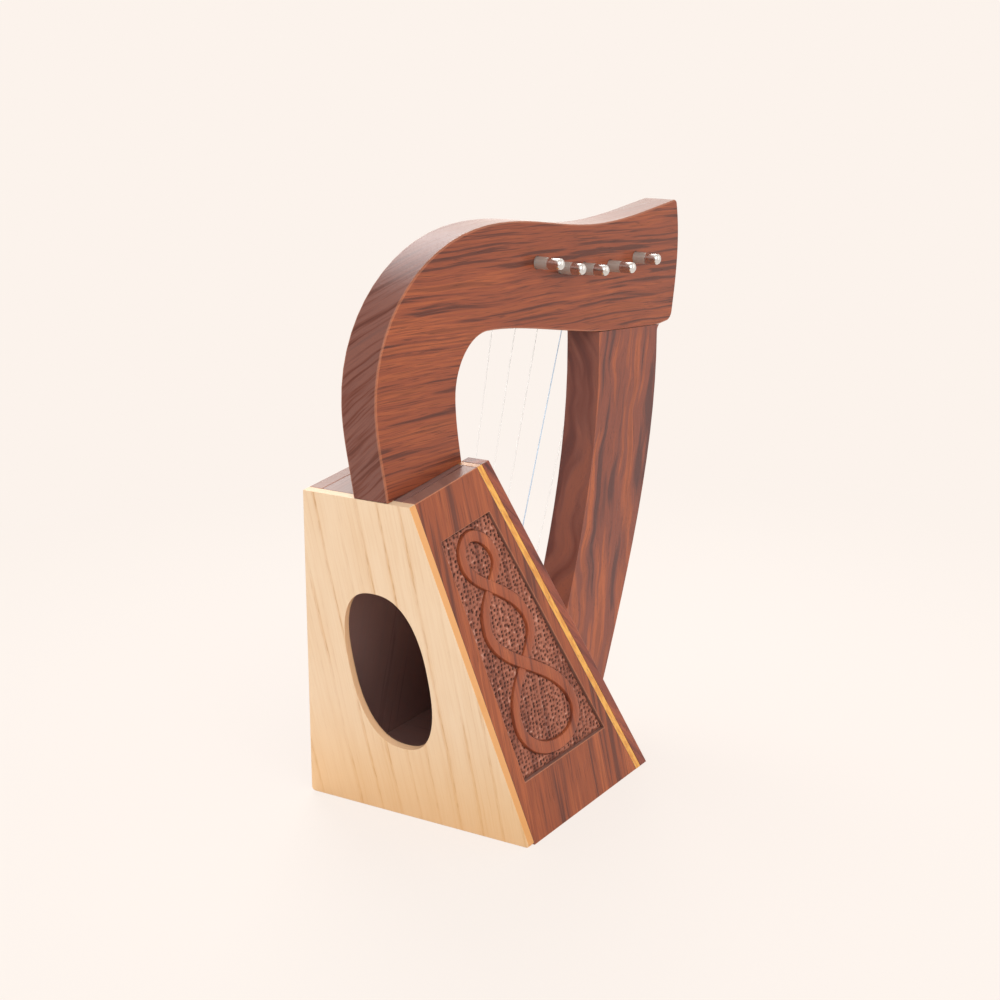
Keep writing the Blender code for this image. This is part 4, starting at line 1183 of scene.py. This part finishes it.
@dataclass
class CarvedSide:
    """A side panel with a sunk and punched field, and a strand that crosses itself twice in it."""

    box: BoxShape
    hand: Hand
    edge: float = 0.4 * MM
    field_depth: float = 1.2 * MM
    # Painted shade on the field's walls
    field_wall_shade: float = 0.38
    blank_depth: float = 2.9 * MM
    rear_margin: float = 9 * MM
    front_margin: float = 7 * MM
    top_margin: float = 23 * MM
    bottom_margin: float = 31.8 * MM
    under_rim: float = 0.25 * MM
    strand_width: float = 6.5 * MM
    strand_flare: float = 0.5 * MM
    strand_rounding: float = 0.45 * MM
    strand_height: float = 2.4 * MM
    strand_sink: float = 0.12 * MM
    strand_dip: float = 0.7 * MM
    strand_top_slimness: float = 0.86
    strand_top_margin: float = 5.6 * MM
    strand_bottom_margin: float = 7.2 * MM
    loops: tuple[float, float, float] = (12.9 * MM, 17.6 * MM, 25.4 * MM)
    falls: tuple[float, float, float, float] = (0.095, 0.233, 0.6, 0.83)
    dip_span: float = math.radians(18)
    dip_turns: tuple[float, float] = (math.radians(60), math.radians(240))
    strand_points: int = 200
    dot_spacing: float = 2.25 * MM
    dot_stretch: float = 1.35
    dot_width: float = 1.7 * MM
    dot_depth: float = 0.9 * MM
    groove_width: float = 1.0 * MM
    groove_depth: float = 0.6 * MM
    grid_step: float = 0.36 * MM

    def __post_init__(self) -> None:
        """Works out the panel's face and the rims of the panel and its field, in order round them."""
        box = self.box
        self.name = self.hand.name.lower()
        self.surface = box.side(self.hand)
        self.outer_rims = [box.floor, box.front_inside, box.top, box.back_inside]
        margins = (self.bottom_margin, self.front_margin, self.top_margin, self.rear_margin)
        self.field_rims = [rim.inset(margin) for rim, margin in zip(self.outer_rims, margins)]

    def build(self, band: Recipe, ground: Recipe) -> None:
        """Builds the panel, its strand and its ground, and dresses them.

        Args:
            band: The tree that sweeps the strand.
            ground: The tree that makes the punched ground.
        """
        panel_wood, strand_wood, ground_wood = self.woods()
        add_piece(f"side_panel_{self.name}_carved", self.blank(), panel_wood,
                  stands_for=(f"side_panel_{self.name}",))
        strand = self.strand(band, strand_wood)
        guide = linked("strand_guide", strand)
        ground_mesh = ground.grow(f"side_ground_{self.name}", bpy.data.meshes.new("field"), {
            **self.field_corners(), "Spacing": self.dot_spacing, "Stretch": self.dot_stretch,
            "Dot Width": self.dot_width, "Dot Depth": self.dot_depth, "Groove Width": self.groove_width,
            "Groove Depth": self.groove_depth, **self.grid_counts(), "Strand": guide,
            "Material": ground_wood})
        bpy.data.objects.remove(guide)
        add_piece(f"side_strand_{self.name}", self.placed(strand), strand_wood)
        add_piece(f"side_ground_{self.name}", self.placed(ground_mesh), ground_wood)

    def woods(self) -> list[Material]:
        """The finishes of the panel, its strand and its ground, all of one board.

        Returns:
            The three materials in that order.
        """
        out = self.surface.normal
        board = {"grain": tuple(self.box.up_the_side(self.hand)), "carved": True,
                 "layers": tuple(Vector((0.8, 0, 0)) + out * 0.6),
                 "seed": 0.31 if self.hand is Hand.RIGHT else 0.83}
        # The panel's top and rims take a greyer, lighter tone as painted sheen
        panel = RoseWood(f"side_wood_{self.name}", **board, band_width=13 * MM, line_width=3.2 * MM,
                         light=shade(180, 97, 57), middle=shade(154, 79, 48), dark=shade(110, 57, 41),
                         streak=0.4, vein=0.3, wear_and_highlight=0.5, inside=tuple(-out), facing=tuple(out),
                         edge_sheen_and_shade=shade(150, 116, 106), edge_share=0.85, edge_streak=0.2)
        strand = RoseWood(f"strand_wood_{self.name}", **board, line_width=3.4 * MM, streak=0.4,
                          light=shade(182, 99, 60), middle=shade(162, 84, 53), dark=shade(126, 64, 45))
        ground = RoseWood(f"carved_wood_{self.name}", **board, gloss=0.5,
                          light=shade(184, 116, 92), middle=shade(164, 99, 77), dark=shade(130, 74, 58))
        return [wood.material() for wood in (panel, strand, ground)]

    def corners(self, rims: list[Flat], surface: Flat) -> list[Vector]:
        """The corners where neighbouring rims meet a surface."""
        return [meet(rims[index - 1], rim, surface) for index, rim in enumerate(rims)]

    def blank(self) -> Mesh:
        """The panel with a plain sunk field, deep enough to hold the punched ground.

        Returns:
            The panel's mesh, in place.
        """
        rings = [self.corners(self.outer_rims, self.surface.inset(self.box.side_thickness)),
                 self.corners(self.outer_rims, self.surface),
                 self.corners(self.field_rims, self.surface),
                 self.corners(self.field_rims, self.surface.inset(self.blank_depth))]
        bm = bmesh.new()
        pit = bm.faces.layers.float.new(PIT)
        verts = [[bm.verts.new(corner) for corner in ring] for ring in rings]
        for near, far in zip(verts, verts[1:]):
            for index in range(4):
                wall = bm.faces.new((near[index - 1], near[index], far[index], far[index - 1]))
                # The field's walls take painted shade
                wall[pit] = self.field_wall_shade if far is verts[-1] else 0.0
        bm.faces.new(verts[0])
        bm.faces.new(verts[-1])
        bmesh.ops.recalc_face_normals(bm, faces=bm.faces)
        free = stands_free(f"side_panel_{self.name}")
        ease(bm, self.edge, allow=lambda edge: free(edge) or self.on_top(edge))
        return smoothed("side_panel", bm)

    def on_top(self, edge: Edge) -> bool:
        """Whether an edge lies in the box's top face."""
        return all(abs(self.box.top.above(vert.co)) < ON_FACE for vert in edge.verts)

    def frame_matrix(self) -> Matrix:
        """Turns (along X, up the side, out of the side) into the harp's frame."""
        axes = (Vector((1, 0, 0)), self.box.up_the_side(self.hand), self.surface.normal)
        return Matrix.Translation(self.surface.point) @ Matrix(axes).transposed().to_4x4()

    def placed(self, mesh: Mesh) -> Mesh:
        """Moves a mesh from the field's own frame into place.

        Args:
            mesh: The mesh.

        Returns:
            The same mesh.
        """
        matrix = self.frame_matrix()
        mesh.transform(matrix)
        if matrix.determinant() < 0:
            mesh.flip_normals()
        return mesh

    def strand_point(self, turn: float) -> Vector:
        """A point of the strand's middle line in the field's frame, for a turn about its loop.

        Args:
            turn: Angle from the top of the loop, from 0 to two pi.

        Returns:
            The point.
        """
        low_rim, front_rim, _, back_rim = self.field_rims
        low = low_rim.point.z + self.strand_bottom_margin
        top = self.box.top
        top_at_origin = top.point.z + (self.box.origin.x - top.point.x) * math.tan(self.box.top_rise)
        high = top_at_origin - self.top_margin - self.strand_top_margin
        widest = (1 - math.cos(math.pi / 6)) / 2
        falls = tuple(zip((0, widest, 1 / 4, 3 / 4, 1 - widest, 1), (0, *self.falls, 1)))
        loops = tuple(zip((1 / 6, 1 / 2, 5 / 6), self.loops))
        z = high + (low - high) * through(falls, (1 - math.cos(turn)) / 2)
        swing = through(loops, abs(math.remainder(turn, 2 * math.pi)) / math.pi) * math.sin(3 * turn)
        nearest = min(abs(turn - under) for under in self.dip_turns)
        dip = self.strand_dip * math.cos(min(nearest / self.dip_span, 1.0) * math.pi / 2)
        x = (place_at(back_rim, z) + place_at(front_rim, z)) / 2 + swing - self.box.origin.x
        deep = self.strand_sink + self.strand_height * self.slimness(turn) / 2 + dip
        return Vector((x, z / math.cos(self.box.side_lean), -deep))

    def slimness(self, turn: float) -> float:
        """Share of its full width that the strand has, which is least in the top loop."""
        return 1 - (1 - self.strand_top_slimness) * (1 + math.cos(turn)) / 2

    def strand(self, band: Recipe, look: Material) -> Mesh:
        """The strand as one closed band, in the field's frame.

        Args:
            band: The tree that sweeps it.
            look: Its material.

        Returns:
            The strand's mesh.
        """
        turns = [2 * math.pi * index / self.strand_points for index in range(self.strand_points)]
        path = path_mesh("strand_path", [self.strand_point(turn) for turn in turns],
                         [self.slimness(turn) for turn in turns], closed=True)
        return band.grow("strand", path, {
            "Face Width": self.strand_width - self.strand_flare,
            "Root Width": self.strand_width + self.strand_flare,
            "Height": self.strand_height, "Edge Radius": self.strand_rounding, "Material": look})

    def field_corners(self) -> dict[str, Axis]:
        """The ground's corners in the field's frame, a little under the rims.

        Returns:
            Each corner by the name of its input.
        """
        under = [rim.inset(-self.under_rim) for rim in self.field_rims]
        inward = self.frame_matrix().inverted()
        corners = [inward @ corner for corner in self.corners(under, self.surface.inset(self.field_depth))]
        return {f"Corner {number}": tuple(corner) for number, corner in enumerate(corners, 1)}

    def grid_counts(self) -> dict[str, int]:
        """How many points the ground's grid has each way."""
        first, second, third, _ = [Vector(corner) for corner in self.field_corners().values()]
        return {"Columns": round((second - first).length / self.grid_step),
                "Rows": round((third - second).length / self.grid_step)}


@dataclass
class Soundbox:
    """The box's plain boards: back, base, top block, soundboard, trims and ribs."""

    box: BoxShape
    edge: float = 0.35 * MM
    back_edge: float = 0.49 * MM
    corner: float = 2.4 * MM
    corner_height: float = 5 * MM
    corner_length: float = 3 * MM
    foot: float = 1.0 * MM
    outer_rim: float = 3.0 * MM
    inner_rim: float = 1.5 * MM
    hole_reach: float = 27 * MM
    hole_span: Span = (35 * MM, 140 * MM)
    flat_face: float = 0.99
    grain_slant: float = 0.02
    eased_depth: float = 4 * MM

    def build(self) -> None:
        """Builds each board and dresses it."""
        up_front = tuple(upwards(self.box.front_lean))
        self.back_panel()
        golden = Spruce("soundboard_wood", up_front, inside=tuple(-self.box.front.normal))
        self.board("soundboard", golden.material(), Slot.SOUNDBOARD)
        along_top = tuple(forwards(self.box.top_rise))
        deep = {"light": shade(168, 88, 60), "middle": shade(138, 70, 54), "dark": shade(92, 45, 38)}
        # The top block's palette is greyed as a painted sheen
        sheen_greyed = {"light": shade(160, 122, 112), "middle": shade(140, 104, 96), "dark": shade(110, 78, 71),
                  "shine": 0.28, "streak": 0.3, "vein": 0.2}
        looks = {
            "base_board": RoseWood("base_wood", (0.0, 1.0, 0.0), (1.0, 0.0, 0.5), seed=1.9,
                                   inside=(0.0, 0.0, 1.0)),
            "top_block": RoseWood("top_wood", along_top, seed=2.3, inside=(0.0, 0.0, -1.0), **sheen_greyed),
            "trim_right": RoseWood("trim_wood_right", up_front, seed=2.9, **deep),
            "trim_left": RoseWood("trim_wood_left", up_front, seed=3.1, **deep),
            "string_rib": RoseWood("rib_wood", up_front, seed=3.7),
            "inner_rib": RoseWood("inner_rib_wood", up_front, seed=4.1),
        }
        for node, look in looks.items():
            self.board(node, look.material(), Slot.DARK_WOOD)

    def board(self, node: str, look: Material, slot: Slot) -> None:
        """A board with eased edges in place of its solid.

        Args:
            node: The solid's name.
            look: The board's material.
            slot: Not used.
        """
        bm = solid_copy(node)
        ease(bm, self.edge, allow=stands_free(node))
        add_board(node, bm, look)

    def back_panel(self) -> None:
        """The pale back, with its lower corners rounded and its sound hole's rim eased."""
        back = self.box.back
        grain = upwards(self.box.back_lean) + Vector((0, self.grain_slant, 0))
        ash = Ash("back_wood", tuple(grain), tuple(back.normal), seed=0.52)
        bm = solid_copy("back_panel")
        pit = bm.faces.layers.float.new(PIT)

        def by_hole(place: Vector) -> bool:
            """Whether a place on the panel's edges belongs to the sound hole."""
            return abs(place.y) < self.hole_reach and self.hole_span[0] < place.z < self.hole_span[1]

        def depth(edge: Edge) -> float:
            """How far an edge lies behind the panel's outer face."""
            return abs(back.above(middle(edge)))

        def outside(edge: Edge) -> bool:
            """Whether an edge lies on the panel's outer face."""
            return depth(edge) < ON_FACE

        def lower_corner(edge: Edge) -> bool:
            """Whether an edge runs through the panel at one of its lower corners."""
            low = max(vert.co.z for vert in edge.verts) < self.corner_height
            return low and runs_along(edge, back.normal) and edge.calc_length() > self.corner_length

        ease(bm, self.corner, 4, lower_corner)
        ease(bm, self.outer_rim, 5, lambda edge: by_hole(middle(edge)) and outside(edge))
        ease(bm, self.inner_rim, 4, lambda edge: by_hole(middle(edge)) and not outside(edge))
        for wall in bm.faces:
            steep = abs(wall.normal.dot(back.normal)) < self.flat_face
            wall[pit] = float(steep and by_hole(wall.calc_center_median()))
        ease(bm, self.foot, 4, lambda edge: middle(edge).z < self.corner and outside(edge))
        free = stands_free("back_panel")
        ease(bm, self.back_edge, allow=lambda edge: (
            not by_hole(middle(edge)) and depth(edge) < self.eased_depth and free(edge)))
        add_board("back_panel", bm, ash.material())


@dataclass
class HarpFrame:
    """The neck, the pillar and the dowels in their joints."""

    edge: float = 0.9 * MM
    head_corner: float = 2.2 * MM
    head_reach: float = 15 * MM
    head_depth: float = 40 * MM
    pin_reach: float = 4.2 * MM
    neck_fall: float = math.radians(4.5)
    pillar_lean: float = math.radians(12)

    def build(self) -> None:
        """Builds the boards and dresses them and the dowels."""
        flat = (0.0, 1.0, 0.0)
        # The neck's rim takes a greyer tone as painted sheen and shade
        neck_wood = RoseWood("neck_wood", tuple(forwards(-self.neck_fall)), seed=0.11, facing=flat,
                             light=shade(170, 89, 52), band_width=11 * MM, band_share=0.28,
                             line_length=75 * MM, line_width=1.6 * MM)
        # The pillar's rims take a darker, greyer tone as painted shade and sheen
        pillar_wood = RoseWood("pillar_wood", tuple(upwards(-self.pillar_lean)), (0.8, 0.6, 0.0), seed=5.3,
                               band_length=70 * MM, band_width=13 * MM, line_length=90 * MM,
                               line_width=6 * MM, sway=9 * MM, light=shade(178, 95, 58),
                               middle=shade(137, 74, 57), dark=shade(96, 55, 50), facing=flat,
                               edge_sheen_and_shade=shade(127, 84, 75), streak=0.4, vein=0.0)
        self.board("neck", neck_wood.material(), Slot.DARK_WOOD)
        self.board("pillar", pillar_wood.material(), Slot.PILLAR_WOOD)
        dowel = Spruce("dowel_beech", (0.0, 0.0, 1.0), base=shade(212, 172, 124), line=shade(186, 142, 96),
                       end=shade(176, 132, 88), fleck=shade(140, 100, 66), flecks=0.3, seed=0.9)
        for name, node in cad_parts.items():
            if "dowel" in name:
                paint(node.data, dowel.material())

    def board(self, node: str, look: Material, slot: Slot) -> None:
        """A sawn board with rounded edges, apart from those at its bores and joints.

        Args:
            node: The solid's name.
            look: The board's material.
            slot: Not used.
        """
        axes = [pin_axis(number) for number in Stringing.numbers()]
        free = stands_free(node)
        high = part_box("neck")[1]
        across = Vector((0, 1, 0))

        def open_edge(edge: Edge) -> bool:
            """Whether an edge lies away from every pin and joint."""
            away = [middle(edge) - axis for axis in axes]
            return min(math.hypot(gap.x, gap.z) for gap in away) > self.pin_reach and free(edge)

        def at_head(edge: Edge) -> bool:
            """Whether an edge runs across the neck at the top of its head."""
            gap = high - edge.verts[0].co
            return runs_along(edge, across) and gap.x < self.head_reach and gap.z < self.head_depth

        bm = solid_copy(node)
        ease(bm, self.head_corner, 4, at_head)
        ease(bm, self.edge, 3, open_edge)
        add_board(node, bm, look)


def pin_axis(number: int) -> Vector:
    """A point on a tuning pin's axis, half way along it."""
    low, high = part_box(f"tuning_pin_{number}")
    return (low + high) / 2


@dataclass
class Stringing:
    """The pins, the eyelets, and the strings between them with their windings."""

    box: BoxShape
    diameter: float = 0.8 * MM
    sides: int = 14
    pin_diameter: float = 6.35 * MM
    pin_edge: float = 0.22 * MM
    eyelet_edge: float = 0.16 * MM
    metal_crease: float = math.radians(32)
    string_offset: float = 4.4 * MM
    wrap: float = math.radians(150)
    winding_turns: int = 3
    winding_pitch: float = 1.3 * MM
    winding_end: tuple[float, ...] = (0.6, 1.2, 2.4)
    steps_per_turn: int = 40
    knot_diameter: float = 3.4 * MM
    rib_thickness: float = 3 * MM
    inner_rib_thickness: float = 4 * MM
    flange_thickness: float = 0.7 * MM
    blue_string: int = 4
    knot: tuple[tuple[float, float], ...] = ((1.0, 0.35), (0.93, 0.7), (0.8, 0.92), (0.5, 1.0), (0.2, 0.85),
                                             (0.07, 0.6), (0.0, 0.3))
    nickel: Metal = Metal("nickel", (0.7, 0.69, 0.67), shade(158, 140, 122), 0.12, -26.5 * MM)
    brass: Metal = Metal("eyelet_brass", shade(222, 186, 110), shade(160, 120, 66), 0.2)
    clear: Nylon = Nylon("nylon_clear", (0.98, 0.99, 0.99), 0.95, 1.12)
    blue: Nylon = Nylon("nylon_blue", shade(212, 233, 252), 0.25, 1.2)

    @staticmethod
    def numbers() -> range:
        """The strings' numbers, from the rear to the front."""
        return range(1, 1 + sum(name.startswith("tuning_pin_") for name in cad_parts))

    def build(self, sweep: Recipe) -> None:
        """Builds each string with its pin, winding and eyelet.

        Args:
            sweep: The tree that sweeps the strings.
        """
        for number in self.numbers():
            is_blue = number == self.blue_string
            look = (self.blue if is_blue else self.clear).material()
            pin = f"pin_{number}"
            self.metal(f"tuning_{pin}", self.nickel, Slot.NICKEL, pin, self.pin_edge)
            self.metal(f"string_eyelet_{number}", self.brass, Slot.BRASS, HARP_BODY, self.eyelet_edge)
            paths = {(f"string_{number}", HARP_BODY): self.string_path(number),
                     (f"string_winding_{number}", pin): (self.winding_path(number), None)}
            for (node, body), (points, swells) in paths.items():
                mesh = sweep.grow(node, path_mesh(node, points, swells), {
                    "Diameter": self.diameter, "Sides": self.sides, "Material": look})
                add_piece(f"{node}_nylon", mesh, look, body, (node,))

    def metal(self, node: str, metal: Metal, slot: Slot, body: str, width: float) -> None:
        """A metal piece with eased edges in place of its solid.

        Args:
            node: The solid's name.
            metal: Its finish.
            slot: Not used.
            body: The body that it rides on.
            width: How far its edges are rounded.
        """
        bm = solid_copy(node)
        ease(bm, width, 2)
        mesh = smoothed(node, bm, self.metal_crease)
        add_piece(f"{node}_metal", mesh, metal.material(), body, (node,))

    def wrap_radius(self) -> float:
        """Radius of a string's middle line where it lies on its pin."""
        return self.pin_diameter / 2 + self.box.clearance + self.diameter / 2

    def around(self, number: int, angle: float, y: float, radius: float) -> Vector:
        """A point round a pin, its angle measured from forwards to upwards."""
        axis = pin_axis(number)
        return Vector((axis.x + radius * math.cos(angle), y, axis.z + radius * math.sin(angle)))

    def string_plane(self) -> float:
        """Place along Y of the strings."""
        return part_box("neck")[1].y + self.string_offset

    def hole(self, number: int) -> Vector:
        """Where a string's hole comes through the soundboard's front.

        Args:
            number: The string's number.

        Returns:
            The middle of the hole.
        """
        corners = [vert.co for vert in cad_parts[f"string_eyelet_{number}"].data.vertices]
        centre = sum(corners, Vector()) / len(corners)
        return centre - self.box.front.normal * self.box.front.above(centre)

    def touch_angle(self, number: int) -> float:
        """Angle on a pin where its string meets the pin's rear side.

        Args:
            number: The string's number.

        Returns:
            The angle, measured from forwards to upwards.
        """
        away = self.hole(number) - pin_axis(number)
        spread = math.acos(self.wrap_radius() / math.hypot(away.x, away.z))
        base = math.atan2(away.z, away.x)
        return max((base + sign * spread) % (2 * math.pi) for sign in (-1, 1))

    def string_path(self, number: int) -> tuple[list[Vector], list[float]]:
        """A string's path from its knot through the rib to its pin, and its swelling at the knot.

        Args:
            number: The string's number.

        Returns:
            The path's points, and how many times its diameter the string has at each.
        """
        hole, out = self.hole(number), self.box.front.normal
        angle = self.touch_angle(number)
        clearance = self.box.clearance
        knot_level = -(self.box.soundboard_thickness + 2 * clearance + self.inner_rib_thickness)
        mouth = hole + out * (2 * clearance + self.rib_thickness + self.flange_thickness)
        radius = self.wrap_radius()
        touch = self.around(number, angle, self.string_plane(), radius)
        points = [hole + out * (knot_level - deep * self.knot_diameter) for deep, _ in self.knot]
        swells = [size * self.knot_diameter / self.diameter for _, size in self.knot]
        bend = (out + (touch - mouth).normalized()).normalized() * self.diameter
        points += [hole + out * (knot_level + clearance), mouth, mouth + bend, touch]
        steps = round(self.steps_per_turn * self.wrap / (2 * math.pi))
        points += [self.around(number, angle - self.wrap * step / steps, self.string_plane(), radius)
                   for step in range(1, steps + 1)]
        return points, swells + [1.0] * (len(points) - len(swells))

    def winding_path(self, number: int) -> list[Vector]:
        """A winding's path: a short lead, the turns on the pin and the end in its cross hole.

        Args:
            number: The string's number.

        Returns:
            The path's points.
        """
        start = self.touch_angle(number) - self.wrap
        radius = self.wrap_radius()
        first_level = self.string_plane() + self.winding_pitch
        first = self.around(number, start, first_level, radius)
        tangent = upwards(start)
        points = [first + tangent * self.diameter]
        for step in range(self.winding_turns * self.steps_per_turn + 1):
            turns = step / self.steps_per_turn
            level = first_level + self.winding_pitch * turns
            points.append(self.around(number, start - 2 * math.pi * turns, level, radius))
        last_level = first_level + self.winding_pitch * self.winding_turns
        points += [self.around(number, start, last_level, radius - inward * self.diameter)
                   for inward in self.winding_end]
        return points


@dataclass(frozen=True)
class Lamp:
    """A soft square lamp: where it stands, the length of its side, its power in watts and its colour."""

    name: str
    place: Axis
    size: float
    power: float
    tone: Colour = (1.0, 1.0, 1.0)

    def build(self, target: Vector) -> None:
        """Puts the lamp in the scene, where it looks at a target.

        Args:
            target: What it looks at.
        """
        data = bpy.data.lights.new(self.name, "AREA")
        data.shape = "SQUARE"
        data.size = self.size
        data.energy = self.power
        data.color = self.tone
        lamp = linked(self.name, data)
        lamp.location = self.place
        lamp.visible_camera = False
        lamp.rotation_euler = (target - Vector(self.place)).to_track_quat("-Z", "Y").to_euler()


@dataclass
class Studio:
    """The camera at the photograph's angle, soft light and a pale floor."""

    box: BoxShape
    azimuth: float = math.radians(-57.604)
    elevation: float = math.radians(16.11)
    roll: float = math.radians(-0.742)
    distance: float = 966.566 * MM
    slide: float = 25.272 * MM
    lift: float = 24.463 * MM
    lens: float = 68.208
    target: Axis = (36 * MM, 0.0, 136 * MM)
    backdrop: Colour = shade(252, 243, 236)
    ambient: float = 0.62
    floor_reach: float = 6.0
    floor_drop: float = 0.2 * MM
    shadow_span: Span = (0.15, 0.6)
    shadow_glow: float = 0.84
    lamps: tuple[Lamp, ...] = (
        Lamp("key", (-0.95, -0.95, 1.1), 1.0, 10.6),
        Lamp("fill", (0.7, -1.2, 0.6), 1.2, 2.6),
        Lamp("rear", (0.8, 0.85, 1.4), 1.1, 17.0),
        Lamp("sheen", (1.25, 0.75, 0.5), 1.1, 5.0, (1.0, 0.89, 0.8)),
    )

    def build(self) -> None:
        """Sets up the camera, the world, the floor and the lamps."""
        bpy.context.scene.view_settings.view_transform = "Standard"
        self.camera()
        self.world()
        self.floor()
        for lamp in self.lamps:
            lamp.build(Vector((0, 0, self.target[2])))

    def camera(self) -> None:
        """The camera, turned about the line of sight and slid across it."""
        back = Vector((math.sin(self.azimuth) * math.cos(self.elevation),
                       -math.cos(self.azimuth) * math.cos(self.elevation), math.sin(self.elevation)))
        level = (-back).cross(Vector((0, 0, 1))).normalized()
        upright = level.cross(-back)
        right = level * math.cos(self.roll) + upright * math.sin(self.roll)
        up = upright * math.cos(self.roll) - level * math.sin(self.roll)
        aim = self.box.origin + Vector(self.target) + right * self.slide + up * self.lift
        data = bpy.data.cameras.new("photo_camera")
        data.lens = self.lens
        camera = linked("photo_camera", data)
        turn = Matrix((right, up, back)).transposed().to_4x4()
        camera.matrix_world = Matrix.Translation(aim + back * self.distance) @ turn
        bpy.context.scene.camera = camera

    def seen_directly(self, graph: Graph) -> Socket:
        """Whether a ray comes from the camera, a reflection or a clear piece.

        Args:
            graph: The tree under construction.

        Returns:
            The socket that says so.
        """
        path = graph.add("ShaderNodeLightPath").outputs
        seen = graph.maths("MAXIMUM", path["Is Camera Ray"], path["Is Glossy Ray"])
        return graph.maths("MAXIMUM", seen, path["Is Transmission Ray"])

    def world(self) -> None:
        """A pale backdrop that is seen and reflected, with plain white light from all round."""
        world = bpy.data.worlds.new("studio")
        world.use_nodes = True
        bpy.context.scene.world = world
        graph = Graph(world.node_tree)
        light = world.node_tree.nodes["Background"]
        graph.feed(light.inputs["Color"], (1.0, 1.0, 1.0))
        graph.feed(light.inputs["Strength"], self.ambient)
        shown = graph.first("ShaderNodeBackground", {"Color": self.backdrop, "Strength": 1.0})
        mixed = graph.first("ShaderNodeMixShader", {
            0: self.seen_directly(graph), 1: light.outputs[0], 2: shown})
        graph.feed(world.node_tree.nodes["World Output"].inputs["Surface"], mixed)

    def floor(self) -> None:
        """A floor of the backdrop's colour that keeps a soft shadow near the harp."""
        bm = bmesh.new()
        bmesh.ops.create_grid(bm, x_segments=1, y_segments=1, size=self.floor_reach / 2)
        bmesh.ops.translate(bm, verts=bm.verts, vec=(0, 0, -self.floor_drop))
        mesh = bpy.data.meshes.new("floor")
        bm.to_mesh(mesh)
        bm.free()
        shader = Shader("floor_paper")
        away = shader.vector("LENGTH", shader.spot(), result="Value")
        lit = shader.remap(away, *self.shadow_span, self.shadow_glow, 1.0)
        shown = shader.times(lit, self.seen_directly(shader))
        matt = shader.first("ShaderNodeBsdfDiffuse", {"Color": self.backdrop})
        glow = shader.first("ShaderNodeEmission", {"Color": self.backdrop, "Strength": 1.0})
        mixed = shader.first("ShaderNodeMixShader", {0: shown, 1: matt, 2: glow})
        shader.feed(shader.tree.nodes["Material Output"].inputs["Surface"], mixed)
        paint(mesh, shader.material)
        linked("floor", mesh)


def main() -> None:
    """Builds the studio and every part of the harp."""
    logging.basicConfig(level=logging.INFO, format="%(name)s %(message)s")
    box = BoxShape()
    Studio(box).build()
    band, ground, sweep = band_sweep(), punched_ground(), round_sweep()
    for hand in Hand:
        CarvedSide(box, hand).build(band, ground)
    Soundbox(box).build()
    HarpFrame().build()
    Stringing(box).build(sweep)


if __name__ == "__main__":
    main()
